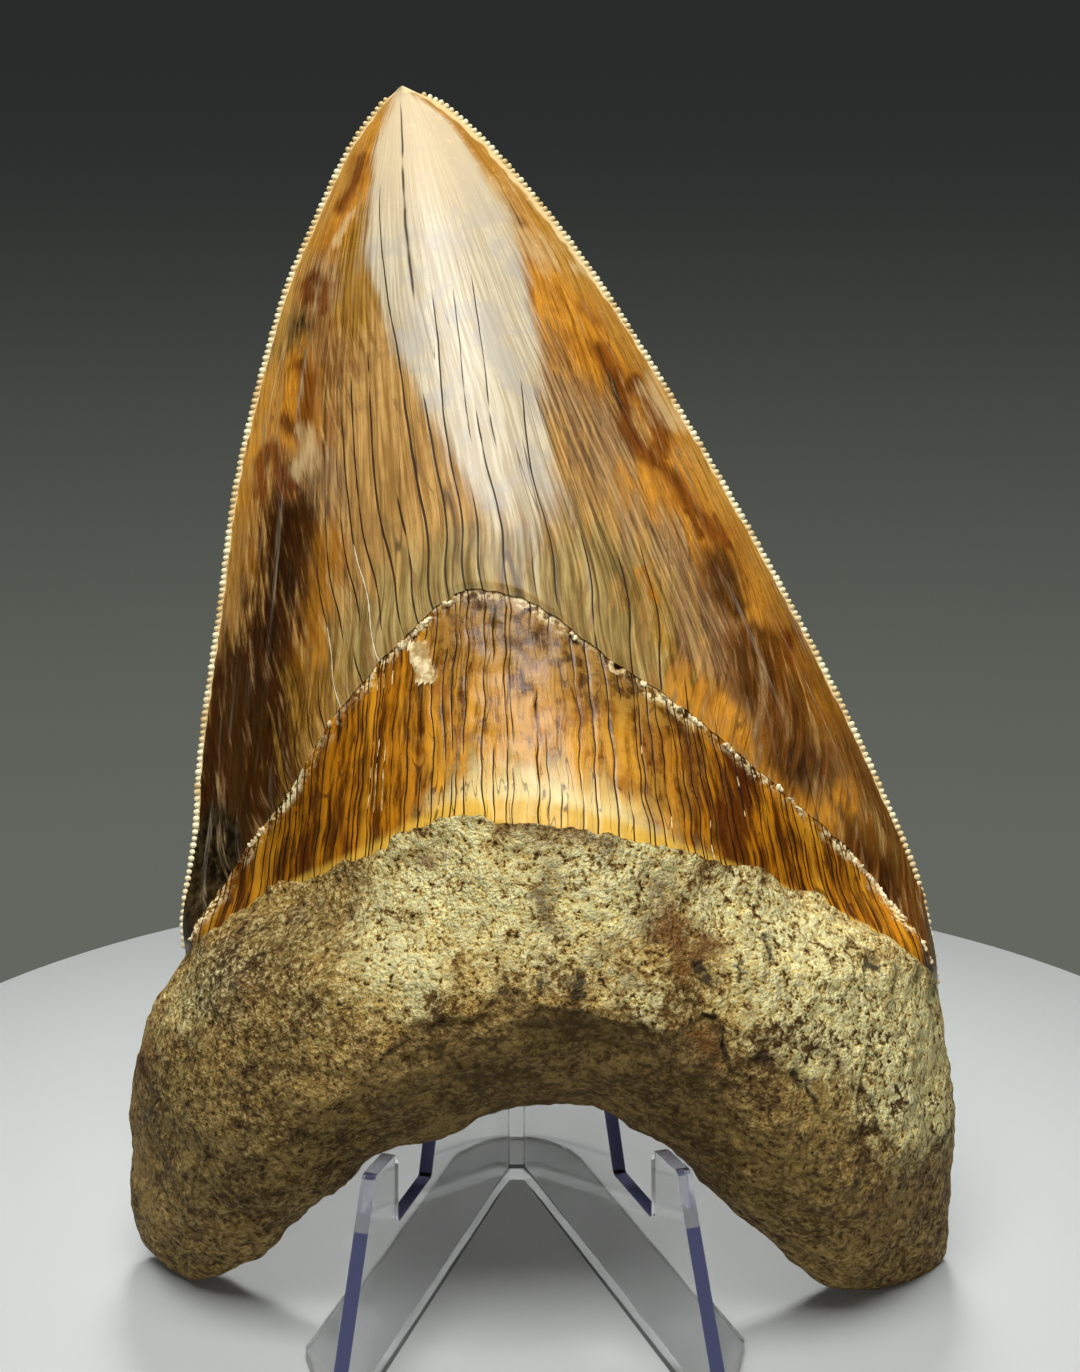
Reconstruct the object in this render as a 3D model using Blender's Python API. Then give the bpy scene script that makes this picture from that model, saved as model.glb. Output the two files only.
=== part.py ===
"""A fossil megalodon tooth leaning on a clear moulded easel.

Two pieces: the tooth, which stands on its two root lobes with its tongue side to the
front, and the easel behind it, whose hooks and ledges pass under the root's arch.
Run with: blender --background --python part.py
Sizes are in millimetres unless a name says otherwise; the objects are made in metres.
"""
import math

import bpy
import bmesh
import numpy as np
from mathutils import Matrix, Vector, noise

MM = 0.001

# ---- where the two pieces stand ------------------------------------------------------
TOOTH_FOOT_Y = -9.3          # foot of the plane behind the tooth's crown
TOOTH_LEAN_DEG = 20.0        # how far that plane leans back
SPINE_X, SPINE_Y = -3.1, 21.5
EASEL_TURN_DEG = 1.95        # the easel stands a little turned under the tooth

# ---- the tooth's outline: x across, w up the leaning plane ---------------------------
TIP_LEFT, TIP_RIGHT = (-17.2, 138.1), (-15.5, 138.2)
LEFT_NOTCH, RIGHT_NOTCH = (-39.6, 37.6), (44.3, 33.4)
LEFT_TOE, RIGHT_TOE = (-38.9, 1.5), (37.0, 0.8)
LEFT_BLADE = [LEFT_NOTCH, (-40.0, 42.2), (-38.8, 51.2), (-38.4, 60.2), (-36.6, 76.2), (-34.7, 92.6),
              (-30.4, 111.6), (-26.9, 121.2), (-22.7, 130.8), (-19.3, 135.9), TIP_LEFT]
RIGHT_BLADE = [RIGHT_NOTCH, (43.4, 40.0), (41.8, 46.9), (36.1, 60.4), (29.7, 73.9), (22.4, 87.9),
               (14.5, 102.0), (5.7, 116.4), (-3.3, 128.3), (-10.7, 135.9), TIP_RIGHT]
LEFT_FLANK = [LEFT_TOE, (-43.1, 3.7), (-45.5, 6.6), (-46.3, 10.2), (-45.8, 15.9), (-46.0, 20.3),
              (-44.6, 27.4), (-43.4, 31.2), LEFT_NOTCH]
RIGHT_FLANK = [RIGHT_TOE, (42.7, 1.2), (45.4, 3.7), (45.9, 8.6), (46.0, 19.2), (45.7, 22.8),
               (45.0, 27.5), RIGHT_NOTCH]
ARCH = [LEFT_TOE, (-34.2, 3.2), (-29.8, 5.9), (-25.3, 10.2), (-21.5, 12.9), (-17.2, 16.5), (-9.5, 18.6),
        (-4.5, 20.9), (2.0, 21.9), (6.0, 21.2), (10.9, 18.6), (14.6, 16.3), (18.8, 12.1), (23.8, 7.8),
        (28.7, 3.3), (31.9, 1.4), RIGHT_TOE]
# where the enamel ends on the tongue side, and where the root begins below the dark band
ENAMEL_EDGE = [LEFT_NOTCH, (-32.6, 48.7), (-27.3, 54.9), (-22.6, 62.1), (-17.7, 67.6), (-12.8, 72.1),
               (-9.1, 75.0), (-6.0, 75.4), (-2.3, 74.5), (1.9, 72.0), (8.2, 67.4), (14.6, 63.4),
               (21.2, 58.4), (27.9, 53.3), (34.9, 47.6), (41.9, 37.8), RIGHT_NOTCH]
ROOT_EDGE = [LEFT_NOTCH, (-33.9, 40.5), (-28.9, 44.1), (-21.9, 45.9), (-14.4, 48.7), (-10.2, 50.1),
             (-4.2, 50.3), (1.8, 50.0), (9.8, 48.6), (18.1, 46.7), (26.8, 43.9), (35.1, 39.9),
             (42.1, 35.6), RIGHT_NOTCH]
# the enamel's lower edge on the lip side, a shallow bow
BACK_ENAMEL_EDGE = [LEFT_NOTCH, (-30.0, 39.5), (-15.0, 44.5), (1.5, 46.5), (18.0, 43.5), (34.0, 37.0),
                    RIGHT_NOTCH]

# ---- the tooth's depth, in front of the leaning plane, by height w -------------------
# the sheet that the edges lie in: at the middle of the tooth, and 40 mm to each side
EDGE_SHEET_MIDDLE = [(0, 7.0), (21, 7.0), (36, 6.5), (50, 5.0), (75, 2.6), (100, 1.2), (139, 1.0)]
EDGE_SHEET_SIDES = [(0, -5.5), (10, -2.8), (20, 0.2), (36, 0.5), (60, 1.0), (139, 1.0)]
# how far the tongue side stands in front of that sheet
FRONT_MIDDLE = [(0, 21.0), (21, 21.5), (33, 22.5), (38, 22.5), (45, 22.7), (50, 22.0), (62, 19.5),
                (75, 17.4), (90, 15.5), (110, 11.5), (125, 6.6), (133, 3.4), (139, 1.2)]
FRONT_SIDES = [(0, 5.5), (10, 9.6), (20, 12.5), (36, 13.5), (46, 17.5), (58, 19.8), (75, 17.4),
               (90, 15.5), (110, 11.5), (125, 6.6), (133, 3.4), (139, 1.2)]
# how far the lip side lies behind it
BACK_MIDDLE = [(0, 2.3), (21, 2.3), (36, 2.9), (50, 2.5), (65, 2.2), (78, 1.9), (90, 1.5), (125, 1.0),
               (139, 0.5)]
BACK_SIDES = [(0, 5.5), (25, 5.5), (36, 3.8), (46, 2.6), (60, 2.2), (78, 1.9), (90, 1.5), (125, 1.0),
              (139, 0.5)]
SIDE_DISTANCE = 40.0
FRONT_ROUNDING, BACK_ROUNDING = 11.0, 5.5    # how wide the root's edges are rounded over
FRONT_ROUND_POWER, BACK_ROUND_POWER = 1.75, 2.0
BLADE_POWER = 1.15                           # above 1 hollows the crown towards its edges
BLADE_BEGINS, BLADE_FULL = 34.0, 46.0        # heights between which round edges turn to blades
ENAMEL_STEP, STEP_WIDTH = 0.5, 0.4           # the band lies this much below the enamel
SINKS_OVER = 0.3                             # share of the band's height over which it sinks
ROOT_LUMP, ROOT_LUMP_SIZE = 0.55, 7.0
ROOT_GRAIN, ROOT_GRAIN_SIZE = 0.3, 2.6
ROUGH_BEGINS = 4.0           # the roughness fades out this close to the root's outline

# ---- serrations ----------------------------------------------------------------------
LEFT_SERRATIONS, RIGHT_SERRATIONS = 117, 140
SERRATION_DEPTH = 0.34

# ---- how finely the tooth is faceted -------------------------------------------------
COLUMNS = 34
BAND_ROWS = 6
ROOT_FRACTIONS = np.linspace(0.0, 1.0, 17) ** 1.35
BAND_FRACTIONS = np.linspace(0.0, 1.0, BAND_ROWS + 1)
CROWN_FRACTIONS = np.linspace(0.0, 1.0, 27)
OUTLINE_STEPS = 12           # straight pieces between two outline points
WELD = 0.01 * MM

# ---- colours ------------------------------------------------------------------------------
FOSSIL_COLOUR = (0.33, 0.19, 0.07)
PLASTIC_COLOUR = (0.92, 0.93, 0.96)

# ---- the easel, in its own frame: reach along a plate from the spine, and height --------
PLATE_THICKNESS = 1.5
PLATE_SPREAD_DEG = 17.25     # each plate's angle from straight ahead
SPINE_WIDTH, SPINE_DEPTH = 4.2, 1.8
EASEL_HEIGHT = 75.0
FLANGE_WIDTH, FLANGE_THICKNESS = 8.0, 1.5
FLANGE_CORNER = 46.5         # reach at which the flange is cut off towards the toe
FLANGE_ARC_POINTS = 13
FLANGE_INSET = 1.0           # the foot's ends stop this far inside the plates' ends
TOE_REACH = 60.3
# one plate's outline: reach, height, corner radius
PLATE_OUTLINE = [(0.0, 0.0, 0.0), (TOE_REACH, 0.0, 0.6), (50.6, 18.3, 3.0), (48.3, 22.6, 0.8),
                 (41.5, 22.2, 1.4), (41.9, 14.5, 0.5), (31.0, 14.5, 0.5), (3.0, EASEL_HEIGHT, 1.0),
                 (0.0, EASEL_HEIGHT, 0.0)]
CORNER_POINTS = 4


# ---- small geometry helpers ------------------------------------------------------------
def smooth_line(points, steps=OUTLINE_STEPS):
    """A Catmull-Rom curve through the points, as an array of (x, w) rows."""
    p = np.array([points[0]] + list(points) + [points[-1]], float)
    t = np.linspace(0.0, 1.0, steps, endpoint=False)[:, None]
    runs = []
    for a, b, c, d in zip(p, p[1:], p[2:], p[3:]):
        runs.append(0.5 * (2 * b + (c - a) * t + (2 * a - 5 * b + 4 * c - d) * t ** 2
                           + (3 * b - a - 3 * c + d) * t ** 3))
    return np.vstack(runs + [p[-1:]])


def along(line, fractions):
    """Points of a line at fractions of its length."""
    lengths = np.r_[0.0, np.cumsum(np.hypot(*np.diff(line, axis=0).T))]
    where = np.asarray(fractions) * lengths[-1]
    return np.stack([np.interp(where, lengths, line[:, 0]), np.interp(where, lengths, line[:, 1])], -1)


def profile(table, height):
    """A smooth value by height from a short table, by monotone cubic pieces."""
    h, v = np.array(table, float).T
    slope = np.diff(v) / np.diff(h)
    tangent = np.r_[slope[0], (slope[1:] + slope[:-1]) / 2, slope[-1]]
    turning = np.r_[False, slope[1:] * slope[:-1] <= 0, False]
    tangent[turning] = 0.0
    w = np.clip(height, h[0], h[-1])
    k = np.clip(np.searchsorted(h, w) - 1, 0, len(slope) - 1)
    gap = h[k + 1] - h[k]
    s = (w - h[k]) / gap
    return ((1 + 2 * s) * (1 - s) ** 2 * v[k] + s * (1 - s) ** 2 * gap * tangent[k]
            + s ** 2 * (3 - 2 * s) * v[k + 1] + s ** 2 * (s - 1) * gap * tangent[k + 1])


def smoothstep(low, high, value):
    s = np.clip((value - low) / (high - low), 0.0, 1.0)
    return s * s * (3 - 2 * s)


# ---- the tooth's form --------------------------------------------------------------------
BLADES = {"left": smooth_line(LEFT_BLADE), "right": smooth_line(RIGHT_BLADE)}
FLANKS = {"left": smooth_line(LEFT_FLANK), "right": smooth_line(RIGHT_FLANK)}
ARCH_LINE = smooth_line(ARCH)
ROOT_OUTLINE = np.vstack([FLANKS["left"][::-1], ARCH_LINE, FLANKS["right"]])


def across(table_middle, table_sides, x, w):
    """Mixes two height tables by the distance from the middle."""
    side = (x / SIDE_DISTANCE) ** 2
    return profile(table_middle, w) * (1 - side) + profile(table_sides, w) * side


def root_distance(x, w):
    """Distance to the root's outline, flanks and arch."""
    flat = np.stack([np.ravel(x), np.ravel(w)], -1)
    gaps = np.linalg.norm(flat[:, None, :] - ROOT_OUTLINE[None, :, :], axis=2)
    return gaps.min(axis=1).reshape(np.shape(x))


def rounded(distance, width, power):
    inward = np.clip(1 - distance / width, 0.0, 1.0)
    return (1 - inward ** power) ** (1 / power)


def blade_form(x, w):
    """1 along the crown's middle, falling to 0 at its cutting edges."""
    left = np.interp(w, BLADES["left"][:, 1], BLADES["left"][:, 0])
    right = np.interp(w, BLADES["right"][:, 1], BLADES["right"][:, 0])
    offset = np.clip((2 * x - left - right) / (right - left), -1.0, 1.0)
    return np.cos(offset * math.pi / 2) ** BLADE_POWER


def depth(x, w, front):
    """How far a point of the tooth stands in front of the leaning plane."""
    blade = smoothstep(BLADE_BEGINS, BLADE_FULL, w)
    distance = root_distance(x, w)
    sheet = across(EDGE_SHEET_MIDDLE, EDGE_SHEET_SIDES, x, w)
    if front:
        root = rounded(distance, FRONT_ROUNDING, FRONT_ROUND_POWER)
        reach = across(FRONT_MIDDLE, FRONT_SIDES, x, w)
    else:
        root = rounded(distance, BACK_ROUNDING, BACK_ROUND_POWER)
        reach = -across(BACK_MIDDLE, BACK_SIDES, x, w)
    return sheet + reach * (blade * blade_form(x, w) + (1 - blade) * root)


def tooth_to_world(points):
    """(x, w, n) rows of the leaning plane's frame to metres in the object's frame."""
    lean = math.radians(TOOTH_LEAN_DEG)
    x, w, n = points.T
    y = TOOTH_FOOT_Y + w * math.sin(lean) - n * math.cos(lean)
    z = w * math.cos(lean) + n * math.sin(lean)
    return np.stack([x, y, np.maximum(z, 0.0)], -1) * MM


# ---- the tooth's mesh ------------------------------------------------------------------
def columns():
    """Fractions across the tooth, closer together towards both sides."""
    even = np.linspace(0.0, 1.0, COLUMNS + 1)
    return (even + (1 - np.cos(math.pi * even)) / 2) / 2


def patch(bottom, top, left, right, rows):
    """A grid of (x, w) points between four lines, rows from bottom to top."""
    t, s = rows[:, None, None], columns()[None, :, None]
    low, high = along(bottom, columns())[None], along(top, columns())[None]
    west, east = along(left, rows)[:, None], along(right, rows)[:, None]
    corners = ((1 - t) * ((1 - s) * low[:, :1] + s * low[:, -1:])
               + t * ((1 - s) * high[:, :1] + s * high[:, -1:]))
    return (1 - t) * low + t * high + (1 - s) * west + s * east - corners


def with_edge_depth(points):
    """Adds the depth of the sheet that all the tooth's edges lie in."""
    x, w = points[..., 0], points[..., 1]
    return np.concatenate([points, across(EDGE_SHEET_MIDDLE, EDGE_SHEET_SIDES, x, w)[..., None]], -1)


def serrations(line, rows, teeth, outward):
    """A blade's edge points between each pair of rows, alternately in and out."""
    runs = []
    bounds = np.round(rows * teeth).astype(int)
    for first, last in zip(bounds, bounds[1:]):
        step = np.arange(2 * first, 2 * last + 1)
        ahead = along(line, np.minimum((step + 1) / (2 * teeth), 1.0))
        behind = along(line, np.maximum((step - 1) / (2 * teeth), 0.0))
        run = (ahead - behind) / np.linalg.norm(ahead - behind, axis=1)[:, None]
        swing = np.where(step % 2 == 1, 0.5, -0.5) * SERRATION_DEPTH * outward
        swing[(step == 0) | (step == 2 * teeth)] = 0.0
        shift = np.stack([run[:, 1], -run[:, 0]], -1) * swing[:, None]
        runs.append(with_edge_depth(along(line, step / (2 * teeth)) + shift))
    return runs


def plain_edge(line, rows):
    """A side's edge points, two between each pair of rows."""
    spots = with_edge_depth(along(line, rows))
    return [np.array(pair) for pair in zip(spots, spots[1:])]


def root_grid(top, front):
    """Rows of the root from the arch up to a line, with the bare root's roughness."""
    grid = patch(ARCH_LINE, top, FLANKS["left"], FLANKS["right"], ROOT_FRACTIONS)
    x, w = grid[..., 0], grid[..., 1]
    n = depth(x, w, front)
    fade = np.clip(root_distance(x, w) / ROUGH_BEGINS, 0.0, 1.0)
    fade[-1] = 0.0
    places = tooth_to_world(np.stack([x, w, n], -1).reshape(-1, 3)) / MM
    lumps = [ROOT_LUMP * noise.noise(Vector(p) / ROOT_LUMP_SIZE)
             + ROOT_GRAIN * noise.noise(Vector(p) / ROOT_GRAIN_SIZE) for p in places]
    n += np.reshape(lumps, n.shape) * fade * (1 if front else -1)
    return np.stack([x, w, n], -1)


def band_grid(bottom, top):
    """Rows of the dark band, which lies below the enamel and ends in a short step."""
    grid = patch(bottom, top, np.array([LEFT_NOTCH] * 2), np.array([RIGHT_NOTCH] * 2), BAND_FRACTIONS)
    x, w = grid[..., 0], grid[..., 1]
    inside = blade_form(x, w)
    sunk = depth(x, w, True) - ENAMEL_STEP * inside * smoothstep(0.0, SINKS_OVER, BAND_FRACTIONS)[:, None]
    w[-1] -= STEP_WIDTH * inside[-1]
    return np.stack([x, w, sunk], -1)


def crown_grid(bottom, front):
    """Rows of the enamel crown up to the blunt tip."""
    tip = np.array([TIP_LEFT, TIP_RIGHT])
    grid = patch(bottom, tip, BLADES["left"], BLADES["right"], CROWN_FRACTIONS)
    return np.concatenate([grid, depth(grid[..., 0], grid[..., 1], front)[..., None]], -1)


def cell_faces(low, high):
    """Two triangles for each cell between two rows, leaving out the end columns."""
    for c in range(1, len(low) - 2):
        yield low[c], low[c + 1], high[c + 1]
        yield low[c], high[c + 1], high[c]


def fan_faces(low, high, run, rise):
    """Triangles from the innermost points of two rows out to the edge between them."""
    split = round((len(run) - 1) * rise)
    for k in range(len(run) - 1):
        yield (low if k < split else high), run[k + 1], run[k]
    yield low, high, run[split]


def build_tooth():
    """One closed solid: a tongue-side and a lip-side sheet that share all their edges."""
    enamel, root, back_enamel = (smooth_line(p) for p in (ENAMEL_EDGE, ROOT_EDGE, BACK_ENAMEL_EDGE))
    front_rows = np.vstack([root_grid(root, True), band_grid(root, enamel), crown_grid(enamel, True)])
    back_rows = np.vstack([root_grid(back_enamel, False), crown_grid(back_enamel, False)[1:]])
    edges = {}
    for side, teeth, outward in (("left", LEFT_SERRATIONS, -1), ("right", RIGHT_SERRATIONS, 1)):
        root_runs = plain_edge(FLANKS[side], ROOT_FRACTIONS)
        blade_runs = serrations(BLADES[side], CROWN_FRACTIONS, teeth, outward)
        notch_runs = [root_runs[-1][-1:]] * (BAND_ROWS + 2)
        edges[side, True] = root_runs + notch_runs + blade_runs
        edges[side, False] = root_runs + blade_runs

    triangles = []
    for rows, front in ((front_rows, True), (back_rows, False)):
        if not front:
            rows[-1] = front_rows[-1]
        rows[0] = with_edge_depth(rows[0, :, :2])
        for k, (low, high) in enumerate(zip(rows, rows[1:])):
            left, right = edges["left", front][k], edges["right", front][k]
            rise = k / (len(rows) - 2)
            outward = list(cell_faces(low, high)) + list(fan_faces(low[1], high[1], left, rise))
            outward += [corners[::-1] for corners in fan_faces(low[-2], high[-2], right, rise)]
            triangles += outward if front else [corners[::-1] for corners in outward]

    corners = tooth_to_world(np.array(triangles).reshape(-1, 3))
    data = bpy.data.meshes.new("tooth")
    data.from_pydata(corners.tolist(), [], np.arange(len(corners)).reshape(-1, 3).tolist())
    mesh = bmesh.new()
    mesh.from_mesh(data)
    bmesh.ops.remove_doubles(mesh, verts=mesh.verts, dist=WELD)
    mesh.to_mesh(data)
    mesh.free()
    return bpy.data.objects.new("tooth", data)


# ---- the easel's mesh --------------------------------------------------------------------
def round_corners(outline):
    """Replaces each corner that has a radius by a short arc."""
    made = []
    for k, (x, y, radius) in enumerate(outline):
        corner = Vector((x, y))
        before = (Vector(outline[k - 1][:2]) - corner).normalized()
        after = (Vector(outline[(k + 1) % len(outline)][:2]) - corner).normalized()
        if radius == 0.0:
            made.append(corner)
            continue
        half = before.angle(after) / 2
        centre = corner + (before + after).normalized() * (radius / math.sin(half))
        start = corner + before * (radius / math.tan(half)) - centre
        turn = start.angle_signed(corner + after * (radius / math.tan(half)) - centre)
        for step in range(CORNER_POINTS + 1):
            made.append(centre + Matrix.Rotation(-turn * step / CORNER_POINTS, 2) @ start)
    return made


def flat_piece(name, outline, thickness):
    """A flat outline in the XY plane as a closed mesh, centred on its thickness."""
    curve = bpy.data.curves.new(name, "CURVE")
    curve.dimensions, curve.fill_mode = "2D", "BOTH"
    curve.extrude = thickness / 2 * MM
    spline = curve.splines.new("POLY")
    spline.points.add(len(outline) - 1)
    for point, (x, y) in zip(spline.points, outline):
        point.co = (x * MM, y * MM, 0.0, 1.0)
    spline.use_cyclic_u = True
    flat = bpy.data.objects.new(name, curve)
    bpy.context.scene.collection.objects.link(flat)
    seen = flat.evaluated_get(bpy.context.evaluated_depsgraph_get())
    data = bpy.data.meshes.new_from_object(seen)
    bpy.data.objects.remove(flat)
    mesh = bmesh.new()
    mesh.from_mesh(data)
    bmesh.ops.remove_doubles(mesh, verts=mesh.verts, dist=WELD)
    bmesh.ops.recalc_face_normals(mesh, faces=mesh.faces)
    mesh.to_mesh(data)
    mesh.free()
    return bpy.data.objects.new(name, data)


def plate_axes(side):
    """Where a plate leaves the spine, its direction and its outward normal, seen from above."""
    spread = math.radians(PLATE_SPREAD_DEG)
    start = Vector((side * (SPINE_WIDTH - PLATE_THICKNESS) / 2, 0.0))
    ahead = Vector((side * math.sin(spread), -math.cos(spread)))
    outward = Vector((side * math.cos(spread), math.sin(spread)))
    return start, ahead, outward


def build_plate(side):
    plate = flat_piece("plate", round_corners(PLATE_OUTLINE), PLATE_THICKNESS)
    start, ahead, outward = plate_axes(side)
    frame = Matrix(((ahead.x, 0, outward.x), (ahead.y, 0, outward.y), (0, 1, 0))).to_4x4()
    plate.matrix_world = Matrix.Translation((start.x * MM, start.y * MM, 0)) @ frame
    return plate


def build_spine():
    mesh = bmesh.new()
    bmesh.ops.create_cube(mesh, size=1.0)
    bmesh.ops.scale(mesh, vec=Vector((SPINE_WIDTH, SPINE_DEPTH, EASEL_HEIGHT)) * MM, verts=mesh.verts)
    bmesh.ops.translate(mesh, vec=(0, 0, EASEL_HEIGHT / 2 * MM), verts=mesh.verts)
    data = bpy.data.meshes.new("spine")
    mesh.to_mesh(data)
    mesh.free()
    return bpy.data.objects.new("spine", data)


def build_flange():
    """The foot: a flat band outside both plates that runs round behind the spine."""
    spread = math.radians(PLATE_SPREAD_DEG)
    sides = {side: plate_axes(side) for side in (1, -1)}
    half = sides[1][0].x
    centre = Vector((0.0, -half * math.tan(spread)))
    radius = FLANGE_WIDTH + half / math.cos(spread)

    def front_end(side):
        start, ahead, outward = sides[side]
        return [start + ahead * (TOE_REACH - FLANGE_INSET),
                start + ahead * FLANGE_CORNER + outward * FLANGE_WIDTH]

    arc = [centre + radius * Vector((math.cos(angle), math.sin(angle)))
           for angle in np.linspace(spread, math.pi - spread, FLANGE_ARC_POINTS)]
    inner = [sides[side][0] + sides[side][1] * FLANGE_INSET for side in (-1, 1)]
    outline = front_end(1) + arc + front_end(-1)[::-1] + inner
    flange = flat_piece("easel", outline, FLANGE_THICKNESS)
    flange.data.transform(Matrix.Translation((0, 0, FLANGE_THICKNESS / 2 * MM)))
    return flange


def build_easel(cutters):
    """One moulding: the foot with both plates and the spine joined to it."""
    easel = build_flange()
    turn = Matrix.Rotation(math.radians(EASEL_TURN_DEG), 4, "Z")
    place = Matrix.Translation((SPINE_X * MM, SPINE_Y * MM, 0)) @ turn
    easel.matrix_world = place
    for piece in (build_plate(-1), build_plate(1), build_spine()):
        piece.matrix_world = place @ piece.matrix_world
        piece.hide_render, piece.display_type = True, "WIRE"
        cutters.objects.link(piece)
        join = easel.modifiers.new("join_" + piece.name, "BOOLEAN")
        join.operation, join.object = "UNION", piece
    return easel


# ---- materials and the finished object -----------------------------------------------------
def plain_material(name, colour, roughness, transmission=0.0):
    material = bpy.data.materials.new(name)
    material.use_nodes = True
    shader = material.node_tree.nodes["Principled BSDF"]
    shader.inputs["Base Color"].default_value = (*colour, 1.0)
    shader.inputs["Roughness"].default_value = roughness
    shader.inputs["Metallic"].default_value = 0.0
    shader.inputs["Transmission Weight"].default_value = transmission
    material.diffuse_color = (*colour, 1.0 - 0.65 * transmission)
    return material


for old in list(bpy.data.objects):
    bpy.data.objects.remove(old)
parts = bpy.data.collections.new("megalodon_tooth")
cutters = bpy.data.collections.new("cutters")
for collection in (parts, cutters):
    bpy.context.scene.collection.children.link(collection)

tooth = build_tooth()
tooth.data.materials.append(plain_material("fossil", FOSSIL_COLOUR, 0.45))
parts.objects.link(tooth)
easel = build_easel(cutters)
easel.data.materials.append(plain_material("clear_plastic", PLASTIC_COLOUR, 0.05, transmission=1.0))
parts.objects.link(easel)
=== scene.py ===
"""A fossil megalodon tooth leaning on its clear moulded easel.

A point of the tooth is written (x, w, n) in millimetres: x across, w up the plane that
leans behind the crown, and n in front of that plane. Meshes are made in metres.
"""
import math

import bpy
import bmesh
import numpy as np
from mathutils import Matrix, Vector, noise


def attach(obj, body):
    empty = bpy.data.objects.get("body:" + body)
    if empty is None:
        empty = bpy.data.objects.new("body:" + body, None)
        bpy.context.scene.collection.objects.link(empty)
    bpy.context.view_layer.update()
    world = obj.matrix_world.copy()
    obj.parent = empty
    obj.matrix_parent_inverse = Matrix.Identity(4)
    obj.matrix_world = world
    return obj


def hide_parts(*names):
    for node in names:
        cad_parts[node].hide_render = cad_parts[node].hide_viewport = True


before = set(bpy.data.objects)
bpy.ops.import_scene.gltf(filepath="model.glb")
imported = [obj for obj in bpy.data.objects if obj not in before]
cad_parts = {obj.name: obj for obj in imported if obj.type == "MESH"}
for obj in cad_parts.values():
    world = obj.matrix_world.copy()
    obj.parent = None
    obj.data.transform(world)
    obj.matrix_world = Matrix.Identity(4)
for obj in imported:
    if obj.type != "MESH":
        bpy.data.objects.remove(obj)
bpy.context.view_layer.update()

# ---- the root ------------------------------------------------------------------------
# The two lobes and the arch between them, of mineralised bone: buff, pitted and grainy,
# with a crumbling lip over the dark band. Made of two sheets that meet at its outline.
MM = 0.001
FOOT_Y, LEAN = -9.3, math.radians(20)
TIP_LEFT, TIP_RIGHT = (-17.2, 138.1), (-15.5, 138.2)
LEFT_NOTCH, RIGHT_NOTCH = (-39.6, 37.6), (44.3, 33.4)
LEFT_TOE, RIGHT_TOE = (-38.9, 1.5), (37, 0.8)
LEFT_BLADE = [
    LEFT_NOTCH, (-40, 42.2), (-38.8, 51.2), (-38.4, 60.2), (-36.6, 76.2), (-34.7, 92.6), (-30.4, 111.6),
    (-26.9, 121.2), (-22.7, 130.8), (-19.3, 135.9), TIP_LEFT]
RIGHT_BLADE = [
    RIGHT_NOTCH, (43.4, 40), (41.8, 46.9), (36.1, 60.4), (29.7, 73.9), (22.4, 87.9), (14.5, 102),
    (5.7, 116.4), (-3.3, 128.3), (-10.7, 135.9), TIP_RIGHT]
LEFT_FLANK = [
    LEFT_TOE, (-43.1, 3.7), (-45.5, 6.6), (-46.3, 10.2), (-45.8, 15.9), (-46, 20.3), (-44.6, 27.4),
    (-43.4, 31.2), LEFT_NOTCH]
RIGHT_FLANK = [
    RIGHT_TOE, (42.7, 1.2), (45.4, 3.7), (45.9, 8.6), (46, 19.2), (45.7, 22.8), (45, 27.5), RIGHT_NOTCH]
ARCH = [
    LEFT_TOE, (-34.2, 3.2), (-29.8, 5.9), (-25.3, 10.2), (-21.5, 12.9), (-17.2, 16.5), (-9.5, 18.6),
    (-4.5, 20.9), (2, 21.9), (6, 21.2), (10.9, 18.6), (14.6, 16.3), (18.8, 12.1), (23.8, 7.8), (28.7, 3.3),
    (31.9, 1.4), RIGHT_TOE]
ROOT_EDGE = [
    LEFT_NOTCH, (-33.9, 40.5), (-28.9, 44.1), (-21.9, 45.9), (-14.4, 48.7), (-10.2, 50.1), (-4.2, 50.3),
    (1.8, 50), (9.8, 48.6), (18.1, 46.7), (26.8, 43.9), (35.1, 39.9), (42.1, 35.6), RIGHT_NOTCH]
BACK_ENAMEL_EDGE = [
    LEFT_NOTCH, (-30, 39.5), (-15, 44.5), (1.5, 46.5), (18, 43.5), (34, 37), RIGHT_NOTCH]
# depths by height w, in the middle and at the sides: the sheet that the edges lie in, and how
# far each face stands off it
SHEET = ([(0, 7), (21, 7), (36, 6.5), (50, 5), (75, 2.6), (100, 1.2), (139, 1)],
         [(0, -5.5), (10, -2.8), (20, 0.2), (36, 0.5), (60, 1), (139, 1)])
FRONT_TOP = [(75, 17.4), (90, 15.5), (110, 11.5), (125, 6.6), (133, 3.4), (139, 1.2)]
FRONT = ([(0, 21), (21, 21.5), (33, 22.5), (38, 22.5), (45, 22.7), (50, 22), (62, 19.5)] + FRONT_TOP,
         [(0, 5.5), (10, 9.6), (20, 12.5), (36, 13.5), (46, 17.5), (58, 19.8)] + FRONT_TOP)
BACK_TOP = [(78, 1.9), (90, 1.5), (125, 1), (139, 0.5)]
BACK = ([(0, 2.3), (21, 2.3), (36, 2.9), (50, 2.5), (65, 2.2)] + BACK_TOP,
        [(0, 5.5), (25, 5.5), (36, 3.8), (46, 2.6), (60, 2.2)] + BACK_TOP)
# how far in from the root's outline its faces are rounded, and how far from the first steps of
# each cutting edge at its notch
FRONT_ROUNDING, BACK_ROUNDING, NOTCH_ROUNDING, NOTCH_STEPS = 11, 5.5, 3.5, 20
# the root's form gives way to the crown's between these heights
CROWN_START, ROOT_END = 34, 46
ROOT_ROWS, ROOT_COLUMNS = 155, 310
ROOT_LEFT, ROOT_RIGHT = -46.2, 45.95
# points of a smooth line from one of its given points to the next
LINE_STEPS = 12
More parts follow.
